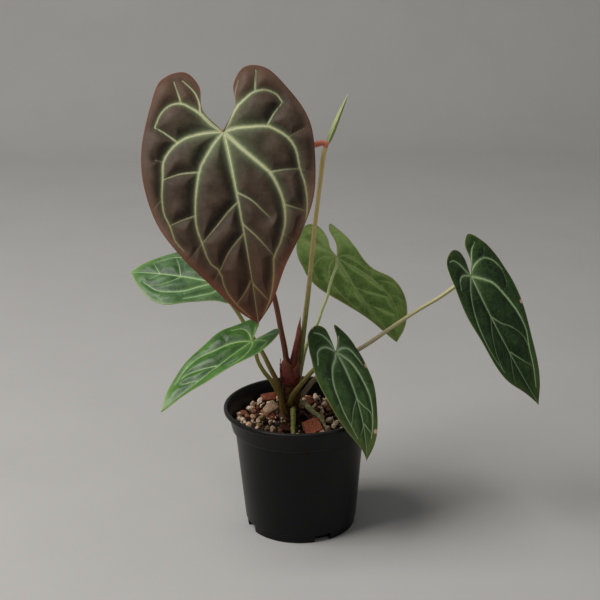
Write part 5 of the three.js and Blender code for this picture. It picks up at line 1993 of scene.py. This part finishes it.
class ANTHURIUM_OT_flower(bpy.types.Operator):
    """Build the flower stalk, the spathe and the knobbed spadix"""

    bl_idname = "anthurium.flower"
    bl_label = "Flower"

    def execute(self, context):
        settings = context.scene.anthurium_plant

        def relief(run, angle):
            return 0.04 * np.sin(6 * angle + 0.04 * run)

        make_stalk(
            "tall_flower_stalk", FLOWER_STALK, FLOWER_STALK["path"], relief, settings,
            FLOWER_STALK["slot"], ["flower_stalk"])

        def knob_field(run, angle):
            across = angle * SPADIX["knobs_round"] / 2
            up = run * math.pi / SPADIX["knob_pitch"]
            return np.abs(np.sin((across + up) / 2) * np.sin((across - up) / 2)) ** 0.6

        def knob_relief(run, angle):
            return settings.knob_height / MM * knob_field(run, angle)

        surface = tube_surface(
            SPADIX["path"], SPADIX["radii"], sides=96, step=0.22, relief=knob_relief)
        values = surface[2]
        values["knob"] = knob_field(values["along"], values["around"] * FULL_TURN)
        make_piece("knobbed_spadix", surface, spadix_finish(), "coral_spadix", ["spadix"])
        look = LOOKS["spathe"]
        make_piece(
            "narrow_spathe", Blade(SPATHE).surface(), leaf_finish(look["slot"], look),
            look["slot"], ["spathe"])
        return {"FINISHED"}


class ANTHURIUM_OT_stage(bpy.types.Operator):
    """Set up the floor, the lights and the camera"""

    bl_idname = "anthurium.stage"
    bl_label = "Floor, lights and camera"

    def execute(self, context):
        scene = context.scene
        settings = scene.anthurium_stage
        build_floor(scene, tuple(settings.floor_color))
        build_light(scene, "main_light", KEY, settings.key_power)
        build_light(scene, "fill_light", FILL, settings.fill_power)
        build_world(scene)
        build_camera(scene)
        return {"FINISHED"}


class ANTHURIUM_PT_sidebar(bpy.types.Panel):
    """Lists the steps and their settings"""

    bl_label = "Potted anthurium"
    bl_idname = "ANTHURIUM_PT_sidebar"
    bl_space_type = "VIEW_3D"
    bl_region_type = "UI"
    bl_category = "Anthurium"

    def draw(self, context):
        layout = self.layout
        for step in STEPS:
            layout.operator(step.bl_idname)
        for owner in SETTINGS:
            group = getattr(context.scene, owner)
            box = layout.box()
            for key in type(group).__annotations__:
                box.prop(group, key)


STEPS = (
    ANTHURIUM_OT_pot, ANTHURIUM_OT_mix, ANTHURIUM_OT_stem, ANTHURIUM_OT_stalks,
    ANTHURIUM_OT_leaves, ANTHURIUM_OT_flower, ANTHURIUM_OT_stage,
)
SETTINGS = {
    "anthurium_pot": PotSettings,
    "anthurium_mix": MixSettings,
    "anthurium_plant": PlantSettings,
    "anthurium_stage": StageSettings,
}


def register():
    for owner, group in SETTINGS.items():
        bpy.utils.register_class(group)
        setattr(bpy.types.Scene, owner, PointerProperty(type=group))
    for item in STEPS + (ANTHURIUM_PT_sidebar,):
        bpy.utils.register_class(item)


def unregister():
    for item in reversed(STEPS + (ANTHURIUM_PT_sidebar,)):
        bpy.utils.unregister_class(item)
    for owner, group in SETTINGS.items():
        delattr(bpy.types.Scene, owner)
        bpy.utils.unregister_class(group)


def main():
    register()
    for step in STEPS:
        group, name = step.bl_idname.split(".")
        getattr(getattr(bpy.ops, group), name)()
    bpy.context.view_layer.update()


if __name__ == "__main__":
    main()
